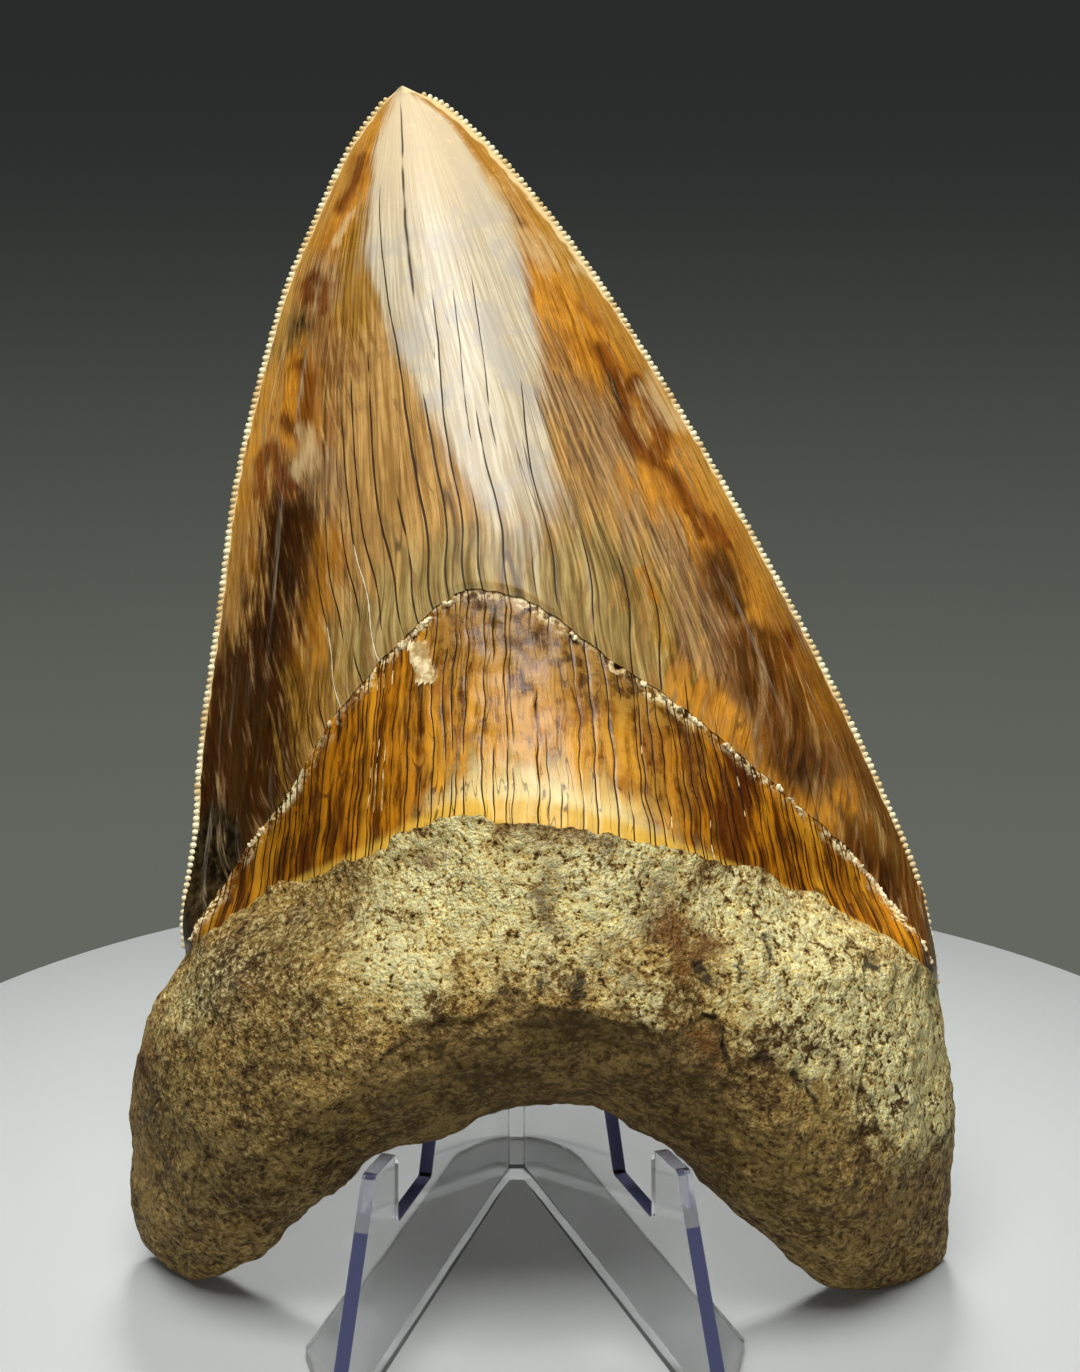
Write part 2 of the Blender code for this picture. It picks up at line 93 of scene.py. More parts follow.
# points closer than this are one point
WELD = 0.002 * MM


def smooth_line(points):
    """A Catmull-Rom curve through the points, as rows of (x, w)."""
    p = np.array([points[0]] + list(points) + [points[-1]], float)
    t = np.linspace(0, 1, LINE_STEPS, endpoint=False)[:, None]
    runs = []
    for a, b, c, d in zip(p, p[1:], p[2:], p[3:]):
        runs.append(0.5 * (2 * b + (c - a) * t + (2 * a - 5 * b + 4 * c - d) * t ** 2
                           + (3 * b - a - 3 * c + d) * t ** 3))
    return np.vstack(runs + [p[-1:]])


def along(line, fractions):
    """Points of a line at fractions of its length."""
    lengths = np.r_[0, np.cumsum(np.hypot(*np.diff(line, axis=0).T))]
    where = np.asarray(fractions) * lengths[-1]
    return np.stack([np.interp(where, lengths, line[:, 0]), np.interp(where, lengths, line[:, 1])], -1)


def profile(table, height):
    """A smooth value by height from a short table, by monotone cubic pieces."""
    h, v = np.array(table, float).T
    slope = np.diff(v) / np.diff(h)
    tangent = np.r_[slope[0], (slope[1:] + slope[:-1]) / 2, slope[-1]]
    tangent[np.r_[False, slope[1:] * slope[:-1] <= 0, False]] = 0
    w = np.clip(height, h[0], h[-1])
    k = np.clip(np.searchsorted(h, w) - 1, 0, len(slope) - 1)
    gap = h[k + 1] - h[k]
    s = (w - h[k]) / gap
    return ((1 + 2 * s) * (1 - s) ** 2 * v[k] + s * (1 - s) ** 2 * gap * tangent[k]
            + s ** 2 * (3 - 2 * s) * v[k + 1] + s ** 2 * (s - 1) * gap * tangent[k + 1])


def rise(low, high, value):
    """0 below low, 1 above high, smooth between."""
    s = np.clip((value - low) / (high - low), 0, 1)
    return s * s * (3 - 2 * s)


def fall(low, high, value):
    """1 below low, 0 above high, smooth between."""
    return 1 - rise(low, high, value)


left_blade, right_blade = smooth_line(LEFT_BLADE), smooth_line(RIGHT_BLADE)
left_flank, right_flank = smooth_line(LEFT_FLANK), smooth_line(RIGHT_FLANK)
arch, root_edge, back_edge = smooth_line(ARCH), smooth_line(ROOT_EDGE), smooth_line(BACK_ENAMEL_EDGE)
root_outline = np.vstack([left_flank[::-1], arch, right_flank])


def line_distance(line, x, w):
    """Distance from points to a polyline, in the leaning plane."""
    nearest = np.full(np.shape(x), np.inf)
    line = np.asarray(line, float)
    for (ax, aw), (bx, bw) in zip(line, line[1:] if len(line) > 1 else line):
        span = max((bx - ax) ** 2 + (bw - aw) ** 2, 1e-9)
        f = np.clip(((x - ax) * (bx - ax) + (w - aw) * (bw - aw)) / span, 0, 1)
        nearest = np.minimum(nearest, np.hypot(x - ax - f * (bx - ax), w - aw - f * (bw - aw)))
    return nearest


def brushed(strokes, x, w):
    """How far strokes cover points: a stroke's strength on its line, half of it a radius away."""
    cover = np.zeros(np.shape(x))
    for radius, strength, *line in strokes:
        gap = line_distance(np.reshape(line, (-1, 2)), x, w) / radius
        cover = np.maximum(cover, strength * np.clip(1 - 0.5 * gap, 0, 1))
    return cover


def x_at(line, w):
    """How far across a line is at heights w."""
    return np.interp(w, *np.array(line)[:, ::-1].T)


def across(tables, x, w):
    """Mixes a pair of height tables, middle and sides, by the distance from the middle."""
    side = (x / 40) ** 2
    return profile(tables[0], w) * (1 - side) + profile(tables[1], w) * side


def rounded(distance, width, power):
    """0 at an edge, 1 a width inside it, along a round curve."""
    return (1 - np.clip(1 - distance / width, 0, 1) ** power) ** (1 / power)


def blade_form(x, w):
    """1 along the crown's middle, falling to 0 at its cutting edges."""
    left, right = x_at(left_blade, w), x_at(right_blade, w)
    return np.cos(np.clip((2 * x - left - right) / (right - left), -1, 1) * math.pi / 2) ** 1.15


def depth(x, w, front):
    """How far the tooth's front or back face stands in front of the leaning plane."""
    blade = rise(CROWN_START, ROOT_END, w)
    distance, closing = FRONT_ROUNDING, 1
    if np.min(w) < ROOT_END:
        distance = line_distance(root_outline, x, w)
        gap = np.minimum(*[line_distance(line[:NOTCH_STEPS], x, w) for line in (left_blade, right_blade)])
        closing = rounded(gap, NOTCH_ROUNDING, 2)
    if front:
        root, reach = rounded(distance, FRONT_ROUNDING, 1.75) * closing, across(FRONT, x, w)
    else:
        root, reach = rounded(distance, BACK_ROUNDING, 2) * closing, -across(BACK, x, w)
    return across(SHEET, x, w) + reach * (blade * blade_form(x, w) + (1 - blade) * root)


def patch(bottom, top, left, right, s, t):
    """Points (x, w) of a sheet hung between four lines, at fractions s across and t up."""
    low, high, west, east = along(bottom, s), along(top, s), along(left, t), along(right, t)
    s, t = s[..., None], t[..., None]
    corners = (1 - t) * ((1 - s) * bottom[0] + s * bottom[-1]) + t * ((1 - s) * top[0] + s * top[-1])
    return (1 - t) * low + t * high + (1 - s) * west + s * east - corners


def to_world(points):
    """(x, w, n) in millimetres to the object's frame in metres."""
    x, w, n = np.moveaxis(points, -1, 0)
    y = FOOT_Y + w * math.sin(LEAN) - n * math.cos(LEAN)
    z = w * math.cos(LEAN) + n * math.sin(LEAN)
    return np.stack([x, y, np.maximum(z, 0)], -1) * MM


def lumps(points, size, shift=0):
    """Smooth seeded noise, about -1 to 1, whose bumps are one size across."""
    flat = (points / size + shift).reshape(-1, 3)
    return np.reshape([noise.noise(Vector(p)) for p in flat], points.shape[:-1])


def rough(base, points, *waves):
    """A base with noise added to it, of each height, size and shift."""
    for height, *wave in waves:
        base = base + height * lumps(points, *wave)
    return base


def hump(s, power=1):
    """0 at both ends of 0 to 1, and 1 in the middle."""
    return np.clip(np.sin(math.pi * s), 0, 1) ** power


def closer_at_ends(count):
    """Fractions from 0 to 1, a little closer together at both ends."""
    even = np.linspace(0, 1, count)
    return (even + (1 - np.cos(math.pi * even)) / 2) / 2


def facing(points):
    """Unit normals of a grid whose rows run up and columns run right."""
    up, right = np.gradient(points, axis=0), np.gradient(points, axis=1)
    normal = np.cross(right, up)
    return normal / np.maximum(np.linalg.norm(normal, axis=-1, keepdims=True), 1e-9)


def put(name, data):
    """A new object of this data in the scene."""
    thing = bpy.data.objects.new(name, data)
    bpy.context.scene.collection.objects.link(thing)
    return thing


def smoothed(data, angle=None):
    """Shades a mesh smooth, but for the edges sharper than an angle."""
    data.polygons.foreach_set("use_smooth", np.ones(len(data.polygons), bool))
    if angle:
        data.set_sharp_from_angle(angle=math.radians(angle))


def welded(data):
    """A mesh to edit, whose points that lie together are one."""
    mesh = bmesh.new()
    mesh.from_mesh(data)
    bmesh.ops.remove_doubles(mesh, verts=mesh.verts, dist=WELD)
    return mesh


def shell(name, front, back, marks):
    """A closed skin of two grids with the same rows and columns, joined round their borders."""
    rows, columns = front.shape[:2]
    f = np.arange(rows * columns).reshape(rows, columns)
    b = f + rows * columns

    def cells(*corners):
        return np.stack([np.ravel(k) for k in corners], -1)

    faces = np.vstack([
        cells(f[:-1, :-1], f[:-1, 1:], f[1:, 1:], f[1:, :-1]),
        cells(b[:-1, :-1], b[1:, :-1], b[1:, 1:], b[:-1, 1:]),
        cells(b[0, :-1], b[0, 1:], f[0, 1:], f[0, :-1]),
        cells(f[-1, :-1], f[-1, 1:], b[-1, 1:], b[-1, :-1]),
        cells(b[:-1, 0], f[:-1, 0], f[1:, 0], b[1:, 0]),
        cells(f[:-1, -1], b[:-1, -1], b[1:, -1], f[1:, -1])])
    data = bpy.data.meshes.new(name)
    places = to_world(np.concatenate([front.reshape(-1, 3), back.reshape(-1, 3)]))
    data.from_pydata(places.tolist(), [], faces.tolist())
    for label, (on_front, on_back) in marks.items():
        values = np.concatenate([np.ravel(on_front), np.ravel(on_back)]).astype(np.float32)
        data.attributes.new(label, "FLOAT", "POINT").data.foreach_set("value", values)
    mesh = welded(data)
    mesh.to_mesh(data)
    mesh.free()
    smoothed(data, 50)
    return put(name, data)


class Part:
    """A value, colour or vector in a node tree; arithmetic on it adds the nodes."""

    def __init__(self, tree, socket=None):
        self.tree, self.socket = tree, socket

    def node(self, kind, inputs=None, output=0, **settings):
        """Adds a node: its settings, then the values or links of its sockets."""
        made = self.tree.nodes.new(kind)
        for name, setting in settings.items():
            setattr(made, name, setting)
        for name, given in (inputs or {}).items():
            if isinstance(given, Part):
                self.tree.links.new(given.socket, made.inputs[name])
            else:
                made.inputs[name].default_value = given
        return Part(self.tree, made.outputs[output])

    def maths(self, operation, *terms):
        return self.node("ShaderNodeMath", dict(enumerate(terms)), operation=operation)

    def __add__(self, other):
        return self.maths("ADD", self, other)

    def __radd__(self, other):
        return self.maths("ADD", other, self)

    def __sub__(self, other):
        return self.maths("SUBTRACT", self, other)

    def __rsub__(self, other):
        return self.maths("SUBTRACT", other, self)

    def __mul__(self, other):
        return self.maths("MULTIPLY", self, other)

    def __abs__(self):
        return self.maths("ABSOLUTE", self)

    def rises(self, low, high):
        """0 below low, 1 above high, smooth between; low may be the greater."""
        return self.node("ShaderNodeMapRange", {0: self, 1: low, 2: high}, interpolation_type="SMOOTHSTEP")

    def tint(self, under, over):
        """The colour under, changing to the colour over where this value is 1."""
        return self.node("ShaderNodeMix", {0: self, 6: colour(under), 7: colour(over)}, 2, data_type="RGBA")

    def shaded(self, amount):
        """This colour, multiplied by a value."""
        return self.node("ShaderNodeMix", {0: 1, 6: self, 7: amount}, 2, data_type="RGBA",
                         blend_type="MULTIPLY")

    def feeds(self, socket):
        """Links this to a socket."""
        self.tree.links.new(self.socket, socket)


def colour(shade):
    """A screen colour, 0 to 255, as the linear one that Blender mixes; a Part stays as it is."""
    if isinstance(shade, Part):
        return shade
    return (*[c / 255 / 12.92 if c <= 10 else ((c / 255 + 0.055) / 1.055) ** 2.4 for c in shade], 1)


def finish(name, **fixed):
    """A new material, its first value to build on and its shader's inputs, some of them fixed."""
    material = bpy.data.materials.new(name)
    material.use_nodes = True
    shader = material.node_tree.nodes["Principled BSDF"]
    for label, value in fixed.items():
        shader.inputs[label.replace("_", " ")].default_value = value
    return material, Part(material.node_tree), shader.inputs


def raise_by(surface, height, strength, distance):
    """Gives a surface's shading bumps of a height, a strength and a distance."""
    bump = height.node("ShaderNodeBump", {"Strength": strength, "Distance": distance, "Height": height})
    bump.feeds(surface["Normal"])


def plane_coordinates(start):
    """Object coordinates in millimetres, and their x, depth and height on the leaning plane."""
    place = start.node("ShaderNodeTexCoord", output=3)
    turned = start.node("ShaderNodeMapping", {0: place, 1: (0, -FOOT_Y * math.cos(LEAN),
                                                            -FOOT_Y * math.sin(LEAN)),
                                              2: (LEAN, 0, 0), 3: (1000, 1000, 1000)})
    parts = [start.node("ShaderNodeSeparateXYZ", {0: turned}, k) for k in range(3)]
    return turned, parts


def joined(*values):
    """Three values as one place, the first of them a Part."""
    return values[0].node("ShaderNodeCombineXYZ", dict(enumerate(values)))


def speckle(place, size, detail=4, roughness=0.6):
    """Noise from about 0 to 1 with bumps of one size in millimetres."""
    return place.node("ShaderNodeTexNoise", {"Vector": place, "Scale": 1 / size, "Detail": detail,
                                             "Roughness": roughness})


LEDGE = [
    (-17, 26.7), (-14.4, 29.2), (-12.2, 31.4), (-6.8, 31.9), (-4.4, 33.9), (-1.2, 33.4), (3.4, 32.1),
    (9.8, 30.7), (12.5, 30.5), (16, 31.7), (17.3, 31.6), (18.1, 30.1), (19, 26.2)]
LEDGE_DEPTH = 0.55
# crust that bulges up over the band: where, how wide, how high and how thick
NODULES = [
    (-9.6, 1.2, 0.6, 0.7), (-7.6, 1.6, 0.7, 0.7), (-5.6, 0.9, 0.4, 0.5), (-14.1, 1.1, 0.7, 0.6),
    (-12.4, 0.9, 0.4, 0.4), (-20.4, 1.4, 0.6, 0.4), (-27.9, 1.6, 0.7, 0.5), (22, 2.2, 0.9, 0.5),
    (29, 1.8, 0.6, 0.4)]
# strokes on the root: radius, strength, then the x and w of each point they pass
ROOT_PITS = [
    (1, 1, 3.4, 35, 3.5, 33.6), (0.7, 0.9, -0.2, 35, -0.2, 33.8), (1, 0.8, -3.6, 33.9, -2.1, 33.6),
    (0.9, 1, 15.6, 36.5, 16.8, 35.2), (0.8, 0.8, 14.7, 37.9), (0.8, 1, 21.9, 27.3, 22.6, 26.9),
    (1.1, 1, 25.3, 25.6, 26.1, 24.8), (0.4, 0.9, 26.6, 24.4, 27.1, 23.1, 27.6, 21.8),
    (0.4, 0.9, 33.5, 27.3, 33.1, 25.9, 32.6, 23.4), (0.6, 0.9, 34.7, 27.3), (0.8, 0.9, 22.9, 39, 23.1, 36.5),
    (0.5, 0.9, 20, 37.2, 20.2, 35), (0.8, 0.9, 33.8, 37.5, 34.8, 36.5), (0.35, 0.8, 33.7, 37, 33.5, 34.4),
    (0.35, 0.7, 37.1, 37.5, 37.1, 34.4), (1.4, 0.6, -14.4, 29, -12.4, 28.7, -10.5, 31.1),
    (0.9, 0.7, -11.4, 31.3, -10, 31), (0.3, 1, 15.7, 31.7, 17.1, 31.6, 18, 30.4, 18.1, 28.9, 18.5, 27.5),
    (0.5, 0.9, -20.2, 42.6, -19.6, 41.5), (0.6, 0.7, -23.2, 42.6, -22.6, 41.6), (0.9, 0.7, -31, 34.4),
    (2, 0.4, 23.2, 20.2, 24.8, 18.6), (0.6, 0.8, 1.8, 38.9), (0.6, 0.8, -24.3, 20, -23.4, 19.5),
    (0.5, 0.8, -18.4, 20.4), (0.6, 0.8, 11.7, 38.9, 12, 37.9), (0.5, 0.9, -43.5, 26.8, -42.6, 24.5)]
# stains on the root, written like its pits; the first strokes are painted light on its upper part, where it
# faces the light, and the second paint its left flank duller, partly as painted shade
ROOT_STAINS_AND_LIGHT = {
    "painted_light": [
        (5, 1, -14.1, 37.9, -11.2, 44.4, -4.1, 42.8, 5.7, 43.8, 9.8, 46.9),
        (3, 0.55, -4.1, 37.4, 5.7, 37, 10.6, 33.1), (4, 0.8, 18, 42.5, 22.2, 41),
        (6, 1, 25, 37, 31.4, 31.9, 37.5, 30, 40, 24), (3, 0.5, -32.1, 35.4, -38.3, 31.7),
        (2.5, 1, -8.2, 50, -8.2, 47), (1.4, 0.9, -14.1, 49)],
    "dull_and_shade": [
        (5, 1, -34, 35, -28, 38, -24, 40), (4, 0.8, -22, 33, -27, 28), (6, 0.9, -40, 24, -34, 18),
        (4, 0.7, -20, 43.5)],
    "purple": [
        (1.5, 0.8, -4.2, 49.4, 1.8, 49.6, 7.3, 48.4), (2.2, 1, -0.2, 44.3, 0.6, 41.3),
        (3, 0.9, 11.3, 43.9, 11.7, 40.4), (2.5, 0.7, 5.7, 37.9, 8.1, 36), (2.5, 0.6, 1.8, 30.2, 10.6, 28.7),
        (3, 0.5, -24.1, 28.1, -21.1, 24.2)],
    "rust": [
        (2.2, 1, 12.7, 39.9, 14.6, 37, 16.7, 38.4), (1.6, 1, 16.1, 29.7, 16.7, 28.2),
        (2.5, 0.7, -30.5, 35, -29.6, 34), (1.5, 0.9, -43.3, 26.8, -42.3, 24.7),
        (2, 0.7, 35.1, 12.3, 36.9, 7.5), (2, 0.7, 43.4, 24.7, 44, 23), (1.2, 0.8, -12.3, 47.3, -10.2, 47.1),
        (1.6, 0.6, -7.7, 46, -8.5, 44)],
}


def root_sheet(top, front):
    """One face of the root from the arch up to its border, in (x, w, n), and its marks."""
    s = np.broadcast_to(closer_at_ends(ROOT_COLUMNS), (ROOT_ROWS, ROOT_COLUMNS))
    t = np.broadcast_to((np.linspace(0, 1, ROOT_ROWS) ** 1.2)[:, None], s.shape)
    x, w = np.moveaxis(patch(arch, top, left_flank, right_flank, s, t), -1, 0)
    n = depth(x, w, front)
    inside = np.clip(line_distance(root_outline, x, w) / 4, 0, 1)
    upper, hold = line_distance(top, x, w), hump(s, 0.3)
    world = to_world(np.stack([x, w, n], -1)) / MM
    sx = x + rough(0, world, (1.6, 3, 4), (0.8, 1.3, 6))
    sw = rough(w, world, (1.4, 3.5, 8), (0.6, 1.2, 2))
    marks = {name: brushed(strokes, sx, sw) for name, strokes in ROOT_STAINS_AND_LIGHT.items()}
    marks["pit"] = brushed(ROOT_PITS, (sx + 2 * x) / 3, (sw + 2 * w) / 3)
    # the recess under the ledge: it is sunk, and its colour is painted shade
    below = np.interp(x, *np.array(LEDGE).T) - rough(w, world, (0.9, 2.2, 3), (0.4, 0.9, 1))
    marks["shade"] = rise(0, 0.9, below) * rise(-19, -13, x) * fall(18.4, 20.5, x)
    marks = {name: cover * front for name, cover in marks.items()}
    marks["flow"], marks["climb"] = s + 0 * t, t + 0 * s
    bulge, swell = np.zeros_like(x), np.zeros_like(x)
    for place, wide, high, thick in NODULES if front else []:
        bump = np.exp(-((x - place) / wide) ** 2)
        bulge, swell = bulge + high * bump, swell + thick * bump * np.exp(-(upper / wide) ** 2)
    holes = rise(0.25, 0.7, lumps(world, 1.5, 11.3))
    marks["pit"] = np.maximum(marks["pit"], 0.45 * holes)
    lip = 0.45 * fall(0.5, 3, upper) * (0.8 + 0.6 * lumps(world, 1.6, 5.2)) * hold
    furrows = lumps(np.stack([s * 30, t * 26, x * 0.1 + 60 * front], -1), 1.1, 61)
    step = rough(0, world, (0.7, 7), (0.4, 2.6)) + (lip + swell) * front - 0.4 * holes + 0.22 * furrows
    step -= (LEDGE_DEPTH * marks["shade"] + 0.45 * rise(0.45, 0.9, marks["pit"])) * front
    fine = rough(0, world, (0.24, 1.2, 3.1), (0.15, 0.65, 7.7)) * np.clip(inside * 2.5, 0, 1)
    grid = np.stack([x, w, n], -1)
    grid += facing(grid) * (step * inside + fine)[..., None] * (1 if front else -1)
    near = fall(0, 4, upper)
    grid[..., 1] += (bulge * near + 0.35 * lumps(world, 1.1, 9.9) * fall(0, 1, upper)) * hold
    rim = fall(0, 3, inside * 4) * rise(0, 6, upper) * rise(0, 6, w)
    ragged = np.stack([rough(0, world, (0.5, 4, k), (0.3, 1.5, k + 1)) for k in (41, 43)], -1)
    grid[..., :2] += ragged * rim[..., None]
    grid[..., 0] = np.clip(grid[..., 0], ROOT_LEFT, ROOT_RIGHT)
    return grid, marks


root_front, front_marks = root_sheet(root_edge, True)
root_back, back_marks = root_sheet(back_edge, False)
root_back[0], root_back[:, 0], root_back[:, -1] = root_front[0], root_front[:, 0], root_front[:, -1]
tuck = root_front[-1:] - [[[0, 0.15, 1.6]]] * np.sin(np.linspace(0, math.pi, ROOT_COLUMNS))[None, :, None]
root = shell("tooth_root", np.vstack([root_front, tuck]), np.vstack([root_back, root_back[-1:]]),
             {name: [np.vstack([face[name], face[name][-1:]]) for face in (front_marks, back_marks)]
              for name in front_marks})


def mark(start, name):
    """A mesh attribute as a value to build on."""
    return start.node("ShaderNodeAttribute", output=2, attribute_name=name)


bone, start, surface = finish("root_bone", Roughness=0.7, Specular_IOR_Level=0.25)
place, (px, pn, pw) = plane_coordinates(start)
fibres = joined(mark(start, "flow") * 34, mark(start, "climb") * 26, pn)
broad, mottle = speckle(place, 8), speckle(place, 1.9, 5, 0.7)
grain, dust = speckle(place, 0.8, 4, 0.75), speckle(place, 0.36, 2, 0.6)
strands = speckle(fibres, 0.8, 5, 0.7)
crumb = start.node("ShaderNodeTexVoronoi", {"Vector": place, "Scale": 1.4, "Randomness": 1})
relief = grain * 0.8 + strands * 0.35 + (dust - 0.5) * 0.6 - (crumb - 0.4) * 0.3 - 0.06
upper = (pw + (broad - 0.5) * 18).rises(24, 38)
patchy = relief + (mottle - 0.5) + (broad - 0.5) * 0.8
tone = patchy.rises(0.2, 0.7).tint((128, 92, 36), (232, 192, 104))
# darker and browner towards the lobes: partly the bone's colour, partly painted shade where the root turns
# under, away from the light
low_tone_and_shade = (patchy * 0.6 + strands * 0.4).rises(0.32, 0.66).tint((82, 58, 22), (160, 130, 68))
tone = ((1 - upper) * 0.8).tint(tone, low_tone_and_shade)
# painted light: the root's upper middle, which faces the light, painted paler and yellower
lit = (mark(start, "painted_light") + (mottle - 0.5) * 1.2).rises(0.15, 0.75)
painted_light = relief.rises(0.3, 0.56).tint((236, 196, 104), (255, 246, 176))
tone = (lit * patchy.rises(0.22, 0.46)).tint(tone, painted_light)
# the left flank painted duller and greyer: partly its own colour, partly painted shade
dull_and_shade = (mark(start, "dull_and_shade") + (mottle - 0.5) * 1.4).rises(0.2, 0.9)
tone = (dull_and_shade * 0.8).tint(tone, patchy.rises(0.25, 0.7).tint((74, 54, 24), (146, 122, 64)))
# painted highlights: pale flecks on the tops of the grain, most where the light falls
tone = (relief.rises(0.5, 0.62) * (lit * 0.5 + upper * 0.25 + 0.12)).tint(tone, (255, 242, 184))
tone = tone.shaded(0.2 + speckle(place, 2.4, 5, 0.7) * 1.6)
# painted shade: dark specks in the hollows of the grain
tone = (relief.rises(0.38, 0.26) * 0.9).tint(tone, (54, 34, 12))
# painted shade in the recess under the ledge
tone = (mark(start, "shade") * 0.8).tint(tone, patchy.rises(0.3, 0.75).tint((100, 76, 36), (178, 146, 84)))
stain = (grain - 0.5) * 1.6 + (mottle - 0.5) * 0.8
# purple and rust are stains; the pits are sunk and also painted dark, painted shade in their hollows
for name, uneven, low, high, strength, shade in (("purple", stain, 0.35, 1, 0.7, (106, 76, 50)),
                                                 ("rust", stain, 0.45, 1, 0.8, (130, 82, 32)),
                                                 ("pit", (grain - 0.5) * 1.8, 0.42, 0.9, 0.9, (50, 34, 16))):
    tone = ((mark(start, name) + uneven).rises(low, high) * strength).tint(tone, shade)
tone.feeds(surface["Base Color"])
raise_by(surface, relief, 1, 0.0015)
root.data.materials.append(bone)
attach(root, "root")
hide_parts("tooth")

# ---- the dark band -------------------------------------------------------------------
# The amber band of thin tissue between root and enamel, a little below the enamel and
# split by close cracks that fan down from the crown. One sheet let into the tooth.
ENAMEL_EDGE = [
    LEFT_NOTCH, (-32.6, 48.7), (-27.3, 54.9), (-22.6, 62.1), (-17.7, 67.6), (-12.8, 72.1), (-9.1, 75),
    (-6, 75.4), (-2.3, 74.5), (1.9, 72), (8.2, 67.4), (14.6, 63.4), (21.2, 58.4), (27.9, 53.3), (34.9, 47.6),
    (41.9, 37.8), RIGHT_NOTCH]
ENAMEL_STEP = 0.5
# the band's cracks fan down from this place, far above the tip
FAN_X, FAN_W = -8, 235
BAND_ROWS, BAND_COLUMNS, SPLIT_HALF = 60, 200, 0.0006
enamel_edge = smooth_line(ENAMEL_EDGE)


def fan(line, angle):
    """Where a line crosses the fan's rays, each at its own slope angle."""
    slopes = (line[:, 0] - FAN_X) / (FAN_W - line[:, 1])
    return np.stack([np.interp(angle, slopes, line[:, 0]), np.interp(angle, slopes, line[:, 1])], -1)


def with_cracks(places, cracks, half):
    """Places across a face, cleared near each crack for its middle and its two sides."""
    places = places[np.abs(places[:, None] - cracks[None]).min(1) > 1.8 * half]
    return np.sort(np.concatenate([places, cracks - half, cracks, cracks + half]))


rng = np.random.default_rng(7)
first, last = [(p[0] - FAN_X) / (FAN_W - p[1]) for p in (LEFT_NOTCH, RIGHT_NOTCH)]
splits = [first]
while splits[-1] < last - 0.003:
    middle = math.exp(-((splits[-1] - 0.03) / 0.06) ** 2)
    splits.append(splits[-1] + (0.0042 + 0.0055 * middle) * rng.uniform(0.35, 1.65))
splits = np.array(splits[1:-1])
rays = with_cracks(np.linspace(first, last, BAND_COLUMNS), splits, SPLIT_HALF)
on_split = np.abs(rays[:, None] - splits[None]).min(1) < 1e-9
ends = hump(np.clip((rays - first) / (last - first), 0, 1), 0.5)
bottom, top = fan(root_edge, rays), fan(enamel_edge, rays)
heading = np.array([FAN_X, FAN_W]) - bottom
heading /= np.linalg.norm(heading, axis=1)[:, None]
low = bottom - heading * (2.6 * ends)[:, None]
high = top + heading * (1.6 * ends)[:, None]
climb = np.broadcast_to(np.linspace(0, 1, BAND_ROWS)[:, None], (BAND_ROWS, len(rays)))
flat = low[None] + (high - low)[None] * climb[..., None]
spread = np.concatenate([flat, np.zeros_like(flat[..., :1])], -1)
flat[..., 0] += rough(0, spread, (0.5, 4, 2.2), (0.12, 1.5, 4.4)) * ends
x, w = flat[..., 0], flat[..., 1]
n = depth(x, w, True) - (ENAMEL_STEP + 0.7 * rise(0.09, 0.03, climb)) * ends
spots = np.stack([x, w, np.zeros_like(x)], -1)
grown, hung, strong = rng.uniform(0.2, 1.15, (3, len(rays)))
grown[rng.random(len(rays)) < 0.3] = 1.2
reach = np.maximum(rise(0, 0.08, grown - climb), rise(0, 0.08, climb - 1 + hung * 0.6))
ragged = np.clip(0.9 + lumps(spots, 2.2, 8.8), 0.2, 1)
crack = on_split * reach * ragged * np.clip(0.4 + 0.6 * strong, 0, 1)
filled = on_split * (rng.random(len(rays)) < 0.16) * rise(0.1, 0.35, lumps(spots, 2.6, 12))
n = rough(n - 0.08 * crack * ends, spots, (0.08, 1.4, 1.1), (0.14, 4, 6.1))
# a chip of pale crust near the enamel's edge, and a small ringed bore
chip_x, chip_w = (x + 12.6) + (w - 67.9) * 0.28, w - 67.8
chip = fall(0.85, 1, np.abs(chip_x) / 1.15) * fall(0.88, 1, np.abs(chip_w) / 2.4)
bore_gap = np.hypot(x - 7.9, w - 67.4)
bore, ring = fall(0.25, 0.5, bore_gap), fall(0, 0.45, np.abs(bore_gap - 0.75))
n = n + 0.22 * chip + 0.15 * chip * lumps(spots, 0.8, 3) - 0.5 * bore + 0.25 * ring
crust = fall(0.4, 1.5, line_distance(enamel_edge, x, w) + 0.6 * lumps(spots, 1.2, 14))
crust = crust * (0.25 + 0.75 * rise(-0.2, 0.4, lumps(spots, 5, 15)))
thick = np.minimum(2.5, 0.6 * (n - depth(x, w, False))) * ends
none = np.zeros_like(x)
band = shell("tooth_band", np.stack([x, w, n], -1), np.stack([x, w, n - thick], -1),
             {"crack": (crack, none), "fill": (np.maximum(filled, np.maximum(chip, ring)), none),
              "bore": (bore, none), "climb": (climb, climb), "flow": (rays + none, rays + none),
              "crust": (crust, none)})

amber, start, surface = finish("band_amber", Specular_IOR_Level=0.22)
place, (px, pn, pw) = plane_coordinates(start)
height = (mark(start, "climb") - 0.12) * 1.25
fibres = joined(mark(start, "flow") * 190, pw * 0.12, 0)
streaks = speckle(fibres, 0.9, 4, 0.65)
wide_streaks = speckle(fibres, 2.6, 3, 0.6)
clouds, mottle = speckle(place, 6, 4), speckle(place, 1.6, 4)
grit = speckle(place, 0.5, 3)
hair = abs(speckle(fibres, 1.3, 1, 0.5) - 0.5)
strayed = px + (clouds - 0.5) * 14
middle = strayed.rises(-16, -6) * strayed.rises(20, 8)
tone = streaks.rises(0.38, 0.6).tint((96, 52, 8), (184, 116, 18))
tone = (wide_streaks.rises(0.5, 0.64) * 0.85).tint(tone, (220, 154, 36))
tone = (wide_streaks.rises(0.46, 0.36) * 0.85).tint(tone, (80, 34, 8))
